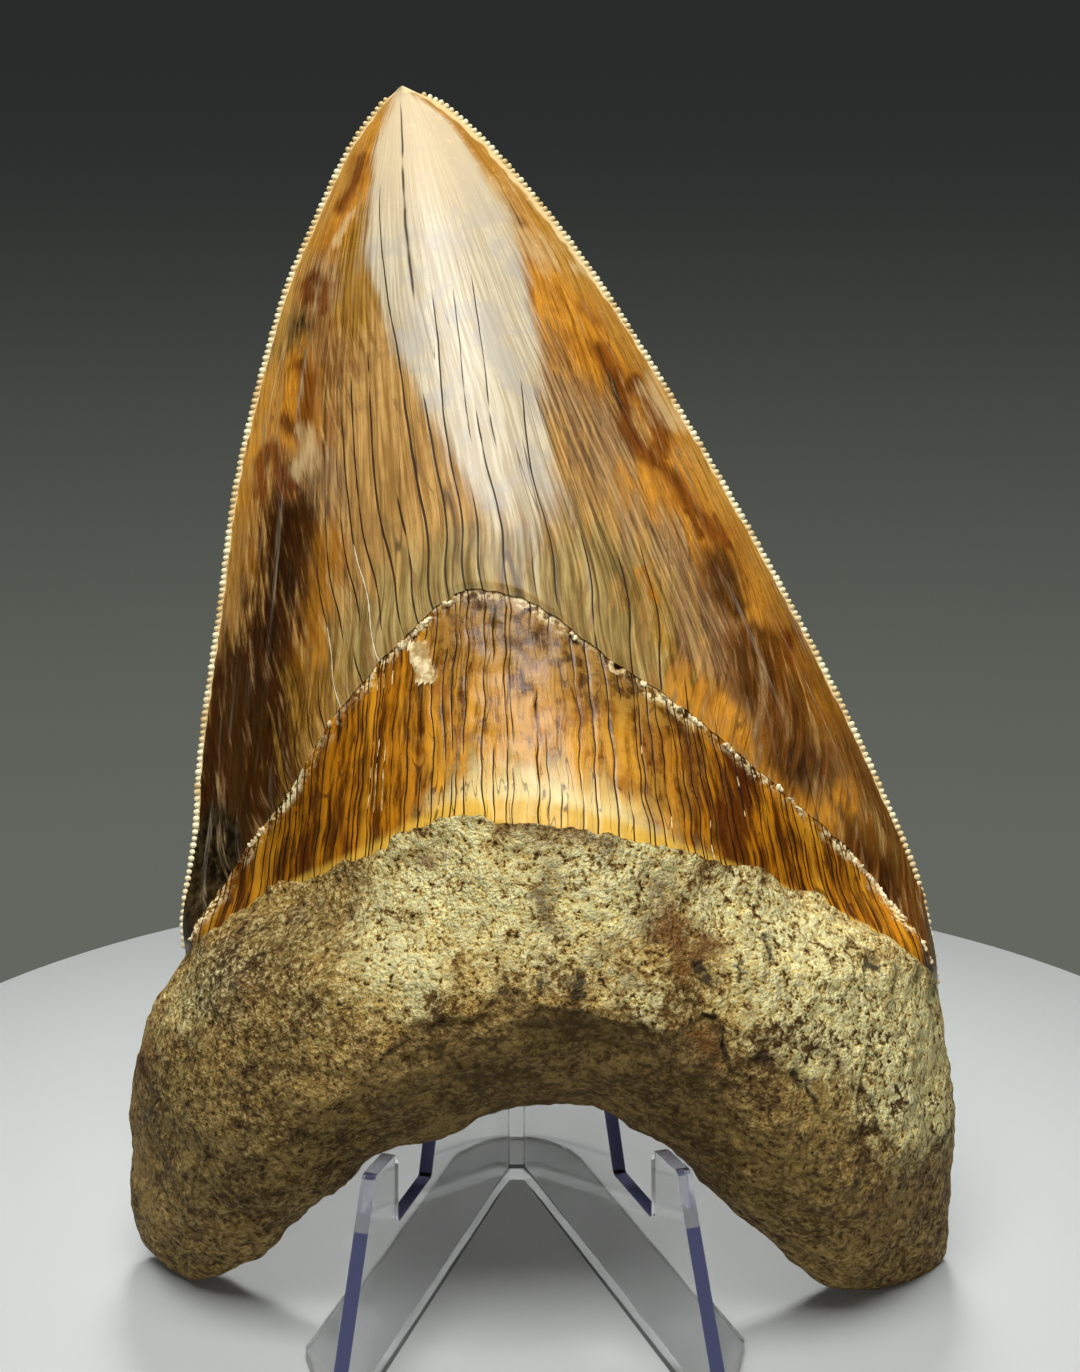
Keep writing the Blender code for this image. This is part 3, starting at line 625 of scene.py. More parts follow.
tone = (middle * (mottle * 0.5 + streaks * 0.5).rises(0.38, 0.54) * 0.8).tint(tone, (206, 150, 56))
tone = (middle * clouds.rises(0.5, 0.64) * 0.7).tint(tone, (140, 80, 30))
flecked = mottle.rises(0.4, 0.6)
tone = (height.rises(0.5, 0.9) * middle * 0.85).tint(tone, flecked.tint((66, 42, 14), (152, 112, 48)))
pale = (height + (streaks - 0.5) * 0.5 + (1 - middle) * 0.3).rises(0.36, 0.06)
tone = (pale * (0.25 + middle * 0.7)).tint(tone, (240, 216, 146))
tone = ((height + (1 - middle) * 0.05).rises(0.12, 0.05) * 0.9).tint(tone, (226, 178, 66))
tone = tone.shaded((0.58 + streaks * 0.7) * (1 - px.rises(-16, -28) * 0.3))
tone = (hair.rises(0.02, 0.006) * (mottle.rises(0.42, 0.56) * 0.7)).tint(tone, (64, 34, 12))
crust_and_shade_line, crumbly = mark(start, "crust"), mottle + grit - 1
crust_tone = grit.rises(0.4, 0.6).tint((170, 138, 86), (244, 228, 176))
tone = (crust_and_shade_line * crumbly.rises(-0.1, 0.06)).tint(tone, crust_tone)
# painted shade: dark gaps between the crumbs, in the line under the enamel's edge
tone = (crust_and_shade_line * crumbly.rises(-0.04, -0.16) * 0.8).tint(tone, (46, 28, 12))
tone = (mark(start, "crack").rises(0.05, 0.35) * 0.95).tint(tone, (30, 14, 4))
filling = flecked.tint((170, 138, 84), (240, 220, 170))
tone = (mark(start, "fill") + (mottle - 0.5) * 0.5).rises(0.35, 0.6).tint(tone, filling)
# painted shade inside the sunk bore
tone = mark(start, "bore").rises(0.3, 0.6).tint(tone, (60, 40, 20))
tone.feeds(surface["Base Color"])
(mark(start, "crack") * 0.5 + mark(start, "fill") * 0.5 + mottle * 0.25 + 0.15).feeds(surface["Roughness"])
raise_by(surface, streaks * 0.5 + mottle * 0.4 + wide_streaks * 0.4, 0.5, 0.0003)
band.data.materials.append(amber)
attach(band, "root")
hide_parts("tooth")

# ---- the crown -----------------------------------------------------------------------
# The enamel blade: cream in the middle, amber and flamed dark towards its cutting edges,
# polished, with drying cracks that follow its growth from the lower edge to the tip.
CROWN_ROWS, CROWN_COLUMNS = 220, 136
# the sides of the raised wedge below the tip
TIP_CREASES = ([(-20.2, 114.5), (-19.4, 121.4), (-18.9, 129.3), (-16.9, 136.9)],
               [(-2.5, 116.7), (-6.9, 125.6), (-7.7, 127.9), (-10.8, 133.5), (-15.3, 136.8)])
# how the growth lines run: places across the crown at five heights, from lower edge to tip
GROWTH = [[0, 0.268, 0.32, 0.352, 0.385, 0.403, 0.417, 0.458, 0.51, 0.618, 0.81, 1],
          [0, 0.22, 0.28, 0.32, 0.374, 0.401, 0.416, 0.454, 0.515, 0.65, 0.8, 1],
          [0, 0.2, 0.262, 0.318, 0.365, 0.39, 0.434, 0.485, 0.565, 0.71, 0.83, 1],
          [0, 0.19, 0.262, 0.315, 0.341, 0.382, 0.452, 0.53, 0.62, 0.76, 0.87, 1],
          [0, 0.19, 0.27, 0.305, 0.335, 0.388, 0.465, 0.55, 0.66, 0.8, 0.9, 1]]
# drying cracks: place across the lower edge, both ends up the crown, strength, and how far up filled
CROWN_CRACKS = [
    (0.16, 0, 0.06, 0.7, 0), (0.18, 0, 0.07, 0.7, 0), (0.2, 0, 0.1, 0.8, 0), (0.225, 0, 0.12, 0.8, 0),
    (0.245, 0, 0.12, 0.7, 0), (0.268, 0, 0.3, 0.8, 0.16), (0.285, 0.1, 0.35, 0.6, 0),
    (0.297, 0, 0.08, 0.8, 0), (0.308, 0.1, 0.4, 0.6, 0), (0.32, 0, 0.45, 0.9, 0.22),
    (0.332, 0.05, 0.5, 0.7, 0), (0.352, 0, 0.5, 0.9, 0), (0.368, 0, 0.25, 0.6, 0), (0.385, 0, 0.78, 1, 0),
    (0.403, 0, 0.36, 0.8, 0), (0.409, 0.5, 0.97, 0.36, 0), (0.419, 0, 0.52, 1, 0), (0.434, 0, 0.18, 0.9, 0),
    (0.446, 0.25, 0.55, 0.5, 0), (0.458, 0, 0.32, 1, 0), (0.472, 0.25, 0.6, 0.5, 0),
    (0.487, 0.02, 0.12, 0.5, 0), (0.51, 0.03, 0.42, 0.9, 0), (0.55, 0, 0.2, 0.9, 0), (0.588, 0, 0.2, 1, 0),
    (0.618, 0, 0.25, 1, 0), (0.647, 0, 0.07, 0.9, 0), (0.68, 0, 0.05, 0.7, 0), (0.715, 0, 0.05, 0.6, 0),
    (0.8, 0, 0.1, 0.5, 0)]
CRACK_HALF = 0.0013
BACK_LIMIT = 37
starts = np.array([c[0] for c in CROWN_CRACKS])
foot = with_cracks(closer_at_ends(CROWN_COLUMNS), starts, CRACK_HALF)
t = np.broadcast_to(np.linspace(0, 1, CROWN_ROWS)[:, None], (CROWN_ROWS, len(foot)))
levels = np.array([np.interp(foot, GROWTH[0], row) for row in GROWTH])
heights = np.linspace(0, 1, len(GROWTH))
s = np.stack([profile(np.stack([heights, column], -1), t[:, 0]) for column in levels.T], -1)
tip = np.array([TIP_LEFT, TIP_RIGHT])


def crown_sheet(bottom, front):
    """One face of the crown from its lower edge to the tip, in x, w and n, and its noise places."""
    x, w = np.moveaxis(patch(bottom, tip, left_blade, right_blade, s, t), -1, 0)
    spread = np.stack([x, w, np.full_like(x, 0 if front else 30)], -1)
    hold = hump(s) * rise(0, 0.1, 1 - t)
    x = x + rough(0, spread, (0.2, 9, 1.7), (0.06, 2.5, 2.9)) * hold
    return x, w, depth(x, w, front), spread, hold


# strokes on the enamel, written as on the root
PAINT = {
    "orange": [
        (2.2, 1, -17.6, 133.7, -20.8, 128.3, -22.7, 123.4, -25, 118.7),
        (2.6, 1.1, -27.9, 103.2, -28, 99.8, -27.5, 95.8), (2, 0.8, -32.2, 103.2, -32.8, 97.2, -33.8, 88.9),
        (3, 0.7, -32.9, 88.8, -32.1, 81.6),
        (2.2, 1, -11.8, 133.3, -7.7, 129.4, -4.2, 125.1, -1.3, 120.8, 2.1, 116),
        (4.6, 1.1, 0.7, 113.4, 3.8, 110.2, 6.6, 106.2), (3, 0.9, 7.7, 104.4, 11.2, 102.7, 15.7, 95.7),
        (4, 1, 14.3, 90.2, 17.8, 88.3, 22.3, 81.6, 25.6, 75.9), (4.5, 1, 26, 72.3, 28.9, 69.7, 31.1, 65.8),
        (3, 0.8, 16.7, 64.2, 21, 59.6, 26.6, 55.1, 32.3, 48.8), (3, 0.6, 33, 55.6, 36.4, 49.1, 38.5, 44.7),
        (3, 0.7, -24.3, 82.6, -25.1, 75.9, -26.3, 70.5), (1, 1, 11.4, 78, 11.6, 76.1)],
    "ochre": [
        (3.5, 1, -21.6, 118.3, -21.6, 113.1, -21.3, 109.2), (4.5, 1, -26.3, 69.3, -27.3, 62.8, -29.5, 55.3),
        (3, 0.8, 12.1, 75.2, 12.5, 70.6, 19, 65.6, 23.4, 60.4)],
    "mauve": [
        (2.5, 0.9, -25.5, 117.1, -24.6, 111.4), (3, 0.8, -26.3, 91, -25, 87.3, -23.3, 90.5),
        (2.4, 0.9, -1, 112.9, -0.2, 106.3, 2, 97.8), (4.5, 0.8, 6.4, 96.2, 8.5, 89, 10.7, 84.5),
        (4.5, 0.9, 15.2, 82.8, 19.2, 79.8, 19.6, 71.5), (3.5, 0.9, 23.5, 62.7, 28.1, 58.5, 29.7, 55.3),
        (2, 0.9, -26.7, 80.7, -27.7, 76.3, -30.9, 67.6), (2.5, 0.8, -31.7, 100.7, -31.9, 97)],
    "brown": [
        (3.5, 0.9, -25.4, 109, -24.3, 103.8, -26, 99.3), (3, 0.9, -24.5, 96.6, -24.8, 90.7),
        (5, 1, -28.1, 87.9, -27.3, 80.8, -28.3, 74.1), (4.2, 0.9, 3.5, 104.2, 6, 98.5, 7.5, 93.8),
        (3.5, 0.9, 6.6, 106.9, 11.1, 99.9), (6, 1, 21.6, 70.6, 25.9, 62.9, 30.4, 57.6),
        (4, 0.9, 34, 54.5, 37.3, 46.8, 38.9, 41.8), (1.6, 0.9, -4.2, 122.8, -2.3, 120)],
    "dark": [
        (4, 0.8, -28.6, 85.6, -28.8, 78.8, -30.1, 72.1),
        (5, 1, -32.6, 67.9, -32.2, 61.1, -33.8, 54.5, -35, 50.1), (4, 0.9, -35.3, 62.4, -36.4, 54.6),
        (3.5, 0.9, 24.1, 70.9, 27.2, 63, 28.1, 58.5), (3, 0.9, 35.4, 47.9, 38, 42.9, 39, 40.2),
        (2, 0.8, 19.8, 81.2, 20.8, 76.4), (1.8, 0.45, 36, 58, 39, 50)],
    "rust": [
        (0.9, 1, -26.8, 112, -27.1, 114, -26.2, 114.8, -25.1, 113.4, -24.6, 110.1),
        (1, 0.9, -27.4, 104, -26.4, 101.9, -26.2, 97, -27.1, 94.8, -29.1, 97.6),
        (0.9, 1, -32.1, 89.2, -31.8, 93.3, -30.8, 94.8, -29.5, 91.7, -28.1, 89),
        (0.9, 0.9, -20.9, 129.3, -22, 126.6, -23.1, 123.5),
        (1.1, 1, 9.7, 100.6, 11.2, 102, 12.9, 99, 13.8, 95.3, 12.6, 92.1, 10.9, 93.6, 9.6, 96.2, 9.2, 99.4,
         9.7, 100.6), (1.1, 0.9, 6.6, 105.5, 7.9, 102.9, 9, 100.1),
        (0.9, 0.9, 13.8, 91.4, 16.6, 88.1, 20, 84.3), (0.6, 0.9, 16.2, 87.1, 17.8, 84.3),
        (0.6, 0.9, 17.7, 87, 19.2, 84.1), (0.6, 0.9, 19.1, 86.5, 20.6, 83.1),
        (1, 0.9, 27.3, 72.5, 27.7, 70.1), (0.8, 0.9, -4.1, 123.6, -2.5, 120.5)],
    "olive": [
        (5, 1, -19.3, 69.6, -15, 73.6, -10.7, 77.1, -4.4, 78, 1.9, 77.1, 7.2, 72.4, 11.4, 68.3),
        (2.5, 0.8, -29.2, 110.1, -28.5, 106.1), (4, 0.9, 5, 81, 9.5, 78, 14, 72),
        (3.5, 0.9, 38.2, 51.3, 41, 45.8, 42, 40.2, 43, 35.4), (3, 0.8, 16.8, 65.4, 13.6, 68.5)],
    "grey": [
        (3.2, 1, -37.5, 49.1, -38.2, 43.6, -38.2, 39.7), (1.5, 0.5, 8.2, 101.2, 8.5, 97.9),
        (1.4, 0.4, 10.1, 104, 11.8, 101.7), (2.2, 0.5, -27.6, 108.4, -28.6, 106.8)],
    "pale": [
        (1.4, 1, -26.3, 94, -26.2, 91.6), (0.6, 1, -22, 121.8, -23.5, 118.3),
        (1.4, 0.8, 13, 101.1, 14.4, 98.1), (2, 0.8, -1.9, 118.4, -0.8, 117.3),
        (2.4, 0.8, -5.6, 124.3, -5, 120.3), (1, 0.8, 3.8, 117.1, 4.7, 116.4)],
}
# the borders of the cream middle
CREAM_LEFT = [
    (-5, 77), (-7.1, 83.6), (-8.7, 87.6), (-10.9, 91.1), (-13.4, 97), (-15.8, 102.7), (-17.6, 109.5),
    (-19.6, 114.5), (-19.4, 121.4), (-18.9, 129.3), (-16.9, 137)]
CREAM_RIGHT = [
    (3, 77), (2.6, 85.2), (2.1, 88), (0.3, 97.5), (-1.3, 107.4), (-2.5, 116), (-4.2, 121.2), (-6.9, 125.6),
    (-7.7, 127.9), (-10.8, 133.5), (-15.3, 137)]

x, w, n, spread, hold = crown_sheet(enamel_edge, True)
crack, fill = np.zeros_like(x), np.zeros_like(x)
for begin, lower, upper, strength, full in CROWN_CRACKS:
    column = np.argmin(np.abs(foot - begin))
    up = t[:, column]
    window = rise(lower - 0.03, lower + 0.02, up) * fall(upper - 0.08, upper, up)
    ragged = np.clip(0.95 + 1.1 * lumps(spread[:, column], 2.5, begin * 50), 0.15, 1)
    crack[:, column] = strength * window * ragged
    fill[:, column] = fall(full - 0.03, full, up) * (full > 0)
outside = np.maximum(np.maximum(x_at(TIP_CREASES[0], w) - x, x - x_at(TIP_CREASES[1], w)), 0)
wedge = rise(108, 120, w) * fall(133, 138, w)
n = n + 0.5 * wedge * (1 - np.clip(outside / 2, 0, 1))
rounding = hump(s, 0.3)
rim = fall(0, 0.7, line_distance(enamel_edge, x, w)) * rounding
n = n - 0.035 * crack * hold - 0.28 * rim + rough(0, spread, (0.06, 6, 3.3), (0.02, 1.8, 5.3)) * hold
w = w + 0.4 * lumps(spread, 1.1, 6.6) * rim
front_grid = np.stack([x, w, n], -1)


def crown_marks(x, w, spread, front):
    """The enamel's colour marks on one face."""
    sx = rough(x, spread, (1.3, 4, 21), (0.5, 1.6, 22))
    sw = rough(w, spread, (1.6, 5, 23), (0.6, 1.8, 24))
    aside = np.abs(2 * s - 1)
    if front:
        marks = {name: brushed(strokes, sx, sw) for name, strokes in PAINT.items() if name != "rust"}
        marks["rust"] = brushed(PAINT["rust"], (sx + x) / 2, (sw + w) / 2)
        mixed = sx * 0.3 + x * 0.7
        inner = np.minimum(mixed - x_at(CREAM_LEFT, w), x_at(CREAM_RIGHT, w) - mixed)
        marks["cream"] = rise(-1.6, 1 + 2.5 * rise(112, 84, w), inner) * rise(73, 90, sw)
    else:
        marks = {"brown": 0.8 * rise(0.3, 0.9, aside), "dark": 0.75 * rise(0.55, 1, aside) * (1.1 - t),
                 "orange": 0.7 * rise(0.2, 0.8, aside) * rise(0.1, 0.7, t), "ochre": 0.5 * rise(0.4, 0, t),
                 "mauve": 0.6 * rise(0, 0.5, lumps(spread, 12, 2)), "rust": 0 * x, "grey": 0 * x,
                 "olive": 0.8 * rise(0.18, 0, t), "pale": 0.5 * rise(0.3, 0.6, lumps(spread, 6, 5)),
                 "cream": 0.8 * rise(0.55, 0.1, aside) * rise(0.15, 0.5, t)}
    blade = np.minimum(line_distance(left_blade, x, w),
                       line_distance(right_blade, x, w) / (1 + 1.2 * rise(108, 122, w)))
    marks["edge"] = fall(0.2, 0.65, blade + 0.2 * lumps(spread, 1.5, 31)) * rise(ROOT_END, 56, w)
    marks["margin"] = fall(1, 4, blade + 1.2 * lumps(spread, 6, 33))
    marks["margin"] = marks["margin"] * (0.75 + 0.25 * (x > 0)) * front
    return marks


marks = crown_marks(x, w, spread, True)
marks.update(crack=crack, fill=fill, flow=s, climb=t)
x2, w2, n2, spread2, hold2 = crown_sheet(back_edge, False)
back_step = fall(0, 0.9, line_distance(back_edge, x2, w2))
n2 = n2 + 0.1 * back_step * rounding + 0.05 * lumps(spread2, 5, 3.3) * hold2
n2 = np.maximum(n2, (w2 * math.sin(LEAN) + FOOT_Y - BACK_LIMIT) / math.cos(LEAN))
behind = crown_marks(x2, w2, spread2, False)
behind.update(crack=crack * 0, fill=fill * 0, flow=s, climb=t)
back_grid = np.stack([x2, w2, n2], -1)
back_grid[-1], back_grid[:, 0], back_grid[:, -1] = front_grid[-1], front_grid[:, 0], front_grid[:, -1]
under = front_grid[:1] - [[[0, -0.1, 1.3]]] * hump(foot, 0.5)[None, :, None]
crown = shell("tooth_crown", np.vstack([under, front_grid]), np.vstack([back_grid[:1], back_grid]),
              {name: [np.vstack([face[name][:1], face[name]]) for face in (marks, behind)] for name in marks})

enamel, start, surface = finish("crown_enamel", Specular_IOR_Level=0.22)
place, (px, pn, pw) = plane_coordinates(start)
fibres = joined(mark(start, "flow") * 84, pw * 0.05, pn * 0.05)
streaks, thin_streaks = speckle(fibres, 1.6, 4, 0.6), speckle(fibres, 0.5, 3, 0.6)
clouds, mottle = speckle(place, 5, 5, 0.6), speckle(place, 1.2, 4, 0.6)
outward = abs(mark(start, "flow") - 0.42)
feathers = joined(outward * 84 - pw * 0.4, pw * 0.09, px * 0.03)
flames, barbs = speckle(feathers, 1.8, 3, 0.6), speckle(feathers, 0.6, 3, 0.6)
ragged = flames * 1.6 + barbs + streaks * 0.8 + clouds * 0.8 - 2.1


def layer(tone, name, shade, strength, soft=0.3, spread=1):
    """Lays one of the enamel's colours over a tone, where its mark and the grain say."""
    cover = (mark(start, name) * spread + ragged * 1.1).rises(0.5 - soft, 0.5 + soft)
    return (cover * strength).tint(tone, shade)


threads = (thin_streaks * 0.65 + streaks * 0.35).rises(0.38, 0.62)
tone = threads.tint((158, 116, 58), (208, 162, 94))
tone = (clouds.rises(0.48, 0.66) * 0.5).tint(tone, (146, 108, 60))
for name, deep, light, strength in (("olive", (118, 96, 48), (182, 158, 98), 0.9),
                                    ("ochre", (108, 70, 8), (180, 130, 36), 0.85),
                                    ("brown", (80, 46, 16), (150, 98, 44), 0.85),
                                    ("mauve", (98, 70, 48), (184, 146, 96), 0.85)):
    tone = layer(tone, name, threads.tint(deep, light), strength)
flamed = (flames * 0.5 + clouds * 0.5).rises(0.38, 0.6)
tone = layer(tone, "orange", flamed.tint((146, 80, 2), (230, 156, 44)), 0.88)
barbed = barbs.rises(0.35, 0.65)
margin = (pw + (clouds - 0.5) * 30).rises(60, 96).tint(barbed.tint((74, 38, 2), (124, 78, 14)),
                                                       barbed.tint((150, 98, 24), (206, 156, 68)))
tone = (mark(start, "margin") * 0.8).tint(tone, margin)
burnt = (flames * 0.5 + barbs * 0.5).rises(0.4, 0.64)
burnt = px.rises(-12, 6).tint(burnt.tint((20, 4, 0), (62, 30, 6)), burnt.tint((44, 20, 4), (122, 72, 22)))
tone = layer(tone, "dark", burnt, 0.94, 0.36, 1.3)
vein = abs(speckle(feathers, 1.25, 2, 0.5) - 0.5).rises(0.03, 0.004)
vein = vein * outward.rises(0.16, 0.3) * clouds.rises(0.4, 0.56)
tone = (vein * (pw.rises(124, 104) * 0.6)).tint(tone, (66, 32, 8))
tone = layer(tone, "rust", barbed.tint((72, 30, 6), (128, 66, 14)), 0.88, 0.36, 1.1)
tone = layer(tone, "grey", mottle.rises(0.42, 0.64).tint((16, 12, 4), (56, 46, 26)), 0.95, 0.24,
             0.9 + pw.rises(58, 50) * 0.7)
tone = layer(tone, "pale", (218, 186, 130), 0.7, 0.35)
tone = tone.shaded(0.6 + (thin_streaks * 0.6 + mottle * 0.4) * 0.62)
whites = thin_streaks.rises(0.4, 0.62).tint((188, 171, 138), (214, 201, 170))
whites = (clouds.rises(0.46, 0.62) * 0.6).tint(whites, (178, 170, 159))
whites = (pw.rises(112, 132) * 0.8).tint(whites, (214, 192, 152))
cream = (mark(start, "cream") + (streaks - 0.5) * 1.2 + (thin_streaks - 0.5) * 0.8).rises(0.1, 0.9)
tone = cream.tint(tone, whites)
tone = ((mark(start, "edge") + (mottle - 0.5) * 0.6).rises(0.3, 0.8) * 0.9).tint(tone, (232, 208, 152))
long_fibres = joined(mark(start, "flow") * 84, pw * 0.03, pn * 0.05)
hair = abs(speckle(long_fibres, 1.7, 1, 0.4) - 0.5).rises(0.012, 0.002)
aside = outward.rises(0.3, 0.16)
reach = (pw + (clouds - 0.5) * 40).rises(124, 96)
tone = (hair * reach * aside * 0.7).tint(tone, (76, 58, 40))
tone = (mark(start, "crack").rises(0.03, 0.32) * 0.95).tint(tone, (40, 27, 16))
tone = ((mark(start, "fill") + (mottle - 0.5) * 1.2).rises(0.4, 0.6) * 0.9).tint(tone, (232, 216, 176))
tone.feeds(surface["Base Color"])
(mark(start, "crack") * 0.5 + mottle * 0.12 + 0.2).feeds(surface["Roughness"])
raise_by(surface, streaks * 0.5 + thin_streaks, 0.35, 0.00012)
crown.data.materials.append(enamel)
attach(crown, "root")
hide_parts("tooth")

# ---- the serrations ------------------------------------------------------------------
# Fine rounded notches along both cutting edges: small enamel beads set edge to edge in
# a row from the notch above the root to the tip.
SERRATION_PITCH = 0.74
BEAD, BEAD_ROOM = (0.44, 0.36, 0.34), 0.36
EDGE_STEPS = 400


def grained(name, roughness, size, deep, light):
    """A material whose colour runs from deep to light in grains of one size."""
    material, start, surface = finish(name, Roughness=roughness)
    place, parts = plane_coordinates(start)
    speckle(place, size).rises(0.36, 0.6).tint(deep, light).feeds(surface["Base Color"])
    return material


def node_tree(name, **inputs):
    """A node group with named inputs after its geometry: the group, and all of them to build on."""
    group = bpy.data.node_groups.new(name, "GeometryNodeTree")
    for label, kind in {"Geometry": "Geometry", **inputs}.items():
        group.interface.new_socket(label, in_out="INPUT", socket_type="NodeSocket" + kind)
    group.interface.new_socket("Geometry", in_out="OUTPUT", socket_type="NodeSocketGeometry")
    given = group.nodes.new("NodeGroupInput")
    return group, [Part(group, given.outputs[k]) for k in range(len(inputs) + 1)]


def spaced(line, pitch):
    """Points along an edge line, a pitch apart."""
    curve = line.node("GeometryNodeMeshToCurve", {0: line})
    return line.node("GeometryNodeResampleCurve", {"Curve": curve, "Length": pitch}, mode="LENGTH")


def grow_along(name, points, links, group, placed, coat, **settings):
    """A piece made of what a group placed along edge lines, as a plain mesh."""
    real = placed.node("GeometryNodeRealizeInstances", {0: placed})
    coated = placed.node("GeometryNodeSetMaterial", {"Geometry": real, "Material": coat})
    coated.feeds(group.nodes.new("NodeGroupOutput").inputs[0])
    data = bpy.data.meshes.new(name)
    data.from_pydata(to_world(points).tolist(), links, [])
    piece = put(name, data)
    modifier = piece.modifiers.new(name, "NODES")
    modifier.node_group = group
    for item in group.interface.items_tree:
        if item.name in settings:
            modifier[item.identifier] = settings[item.name]
    ready = bpy.data.meshes.new_from_object(piece.evaluated_get(bpy.context.evaluated_depsgraph_get()))
    piece.modifiers.clear()
    piece.data = ready
    smoothed(ready)
    return piece


edges = []
for line, inward in ((left_blade, 0.08), (right_blade, -0.08)):
    x, w = along(line, np.linspace(0.01, 0.985, EDGE_STEPS)).T
    n = (w * math.sin(LEAN) + FOOT_Y - BACK_LIMIT + BEAD_ROOM) / math.cos(LEAN)
    edges.append(np.stack([x + inward, w, np.maximum(across(SHEET, x, w), n)], -1))
links = [(k, k + 1) for k in range(2 * EDGE_STEPS - 1) if k != EDGE_STEPS - 1]
group, (geometry, pitch, bead, seed, coat) = node_tree("beads_along_edge", Pitch="Float", Bead="Vector",
                                                       Seed="Int", Finish="Material")
ball = pitch.node("GeometryNodeMeshIcoSphere", {"Radius": 1, "Subdivisions": 2})
tangent = pitch.node("GeometryNodeInputTangent")
turn = pitch.node("FunctionNodeAlignRotationToVector", {"Vector": tangent}, axis="Z")
size = pitch.node("FunctionNodeRandomValue", {2: 0.85, 3: 1.12, "Seed": seed}, 1, data_type="FLOAT")
scale = pitch.node("ShaderNodeVectorMath", {0: bead, 3: size}, operation="SCALE")
placed = pitch.node("GeometryNodeInstanceOnPoints", {"Points": spaced(geometry, pitch), "Instance": ball,
                                                     "Rotation": turn, "Scale": scale})
serrations = grow_along("tooth_serrations", np.vstack(edges), links, group, placed, coat, Seed=3,
                        Pitch=SERRATION_PITCH * MM, Bead=[k * MM for k in BEAD],
                        Finish=grained("serration_enamel", 0.4, 3, (206, 176, 116), (246, 236, 196)))
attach(serrations, "root")
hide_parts("tooth")

# ---- the crumbs ----------------------------------------------------------------------
# Pale crumbs of sediment that still sit in the groove under the enamel's edge, grouped
# here and there, each a few tenths of a millimetre. Scattered along the edge's line.
CRUMB_PITCH, CRUMB_SIZE, CRUMB_SHARE, CRUMB_SUNK, CRUMB_STEPS = 0.15, 0.34, 0.44, 0.32, 900
x, w = along(enamel_edge, np.linspace(0.02, 0.975, CRUMB_STEPS)).T
flat = np.stack([x, w, np.zeros_like(x)], -1)
x, w = x + 0.15 * lumps(flat, 1, 53), w - 0.5 + rough(0, flat, (0.4, 2, 51), (0.4, 0.5, 52))
group, (geometry, pitch, size, share, seed, coat) = node_tree(
    "crumbs_along_edge", Pitch="Float", Size="Float", Share="Float", Seed="Int", Finish="Material")
ball = pitch.node("GeometryNodeMeshIcoSphere", {"Radius": size, "Subdivisions": 2})
clump = pitch.node("ShaderNodeTexNoise", {"Vector": pitch.node("GeometryNodeInputPosition"), "Scale": 240,
                                          "Detail": 4, "Roughness": 0.7})
kept = pitch.node("FunctionNodeCompare", {0: clump, 1: 1 - share}, data_type="FLOAT",
                  operation="GREATER_THAN")
turn, scale = [pitch.node("FunctionNodeRandomValue", {0: least, 1: most, "Seed": seed},
                          data_type="FLOAT_VECTOR")
               for least, most in (((0, 0, 0), (6.28, 6.28, 6.28)), ((0.25, 0.25, 0.2), (1.7, 1.2, 0.9)))]
placed = pitch.node("GeometryNodeInstanceOnPoints", {"Points": spaced(geometry, pitch), "Selection": kept,
                                                     "Instance": ball, "Rotation": turn, "Scale": scale})
crumbs = grow_along("tooth_crumbs", np.stack([x, w, depth(x, w, True) - CRUMB_SUNK], -1),
                    [(k, k + 1) for k in range(CRUMB_STEPS - 1)], group, placed, coat, Seed=11,
                    Pitch=CRUMB_PITCH * MM, Size=CRUMB_SIZE * MM, Share=CRUMB_SHARE,
                    Finish=grained("crumb_sediment", 0.7, 0.8, (170, 140, 88), (248, 234, 190)))
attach(crumbs, "root")
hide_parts("tooth")

# ---- the easel -----------------------------------------------------------------------
# One moulding of clear acrylic: two plates that meet at a spine, a foot plate, and a
# hook and ledge at each toe. Its free edges are eased, and violet gathers in them.
EASED, EASED_ABOVE = 0.14, 2.5
# a face this wide is an edge of the plastic, unless it is near the spine or the foot
THINNEST, NARROW = 0.8, 2.1
SPINE = (-3.1, 21.5)
SPINE_REACH, HOOK_REACH, TOE_REACH, TOE_TIP = 4, 41, 49, 54
HOOK_FOOT, HOOK_SHOULDER = 14.8, 17.6
SHARP = math.radians(50)


def spine_gap(point):
    """How far a point is from the spine, seen from above, in millimetres."""
    return math.hypot(point.x / MM - SPINE[0], point.y / MM - SPINE[1])


mesh = welded(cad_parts["easel"].data)
bmesh.ops.dissolve_limit(mesh, angle_limit=math.radians(1), verts=mesh.verts, edges=mesh.edges)
for face in mesh.faces:
    longest = max(edge.calc_length() for edge in face.edges)
    middle = face.calc_center_median()
    reach, height = spine_gap(middle), middle.z / MM
    edge_face = (THINNEST * MM < face.calc_area() / longest < NARROW * MM and reach > SPINE_REACH
                 and height > EASED_ABOVE)
    on_hook = reach > HOOK_REACH and height > (HOOK_SHOULDER if reach > TOE_REACH else HOOK_FOOT)
    face.material_index = 0 if not edge_face else 2 if on_hook else 1
toes = [face for face in mesh.faces if face.material_index == 1
        and max(spine_gap(vert.co) for vert in face.verts) > TOE_TIP
        and max(vert.co.z for vert in face.verts) > HOOK_SHOULDER * MM]
toes += list({edge for face in toes for edge in face.edges})
bmesh.ops.bisect_plane(mesh, geom=toes, dist=1e-7, plane_co=(0, 0, HOOK_SHOULDER * MM),
                       plane_no=(0, 0, 1))
for face in mesh.faces:
    middle = face.calc_center_median()
    if face.material_index == 1 and spine_gap(middle) > HOOK_REACH and middle.z > HOOK_SHOULDER * MM:
        face.material_index = 2
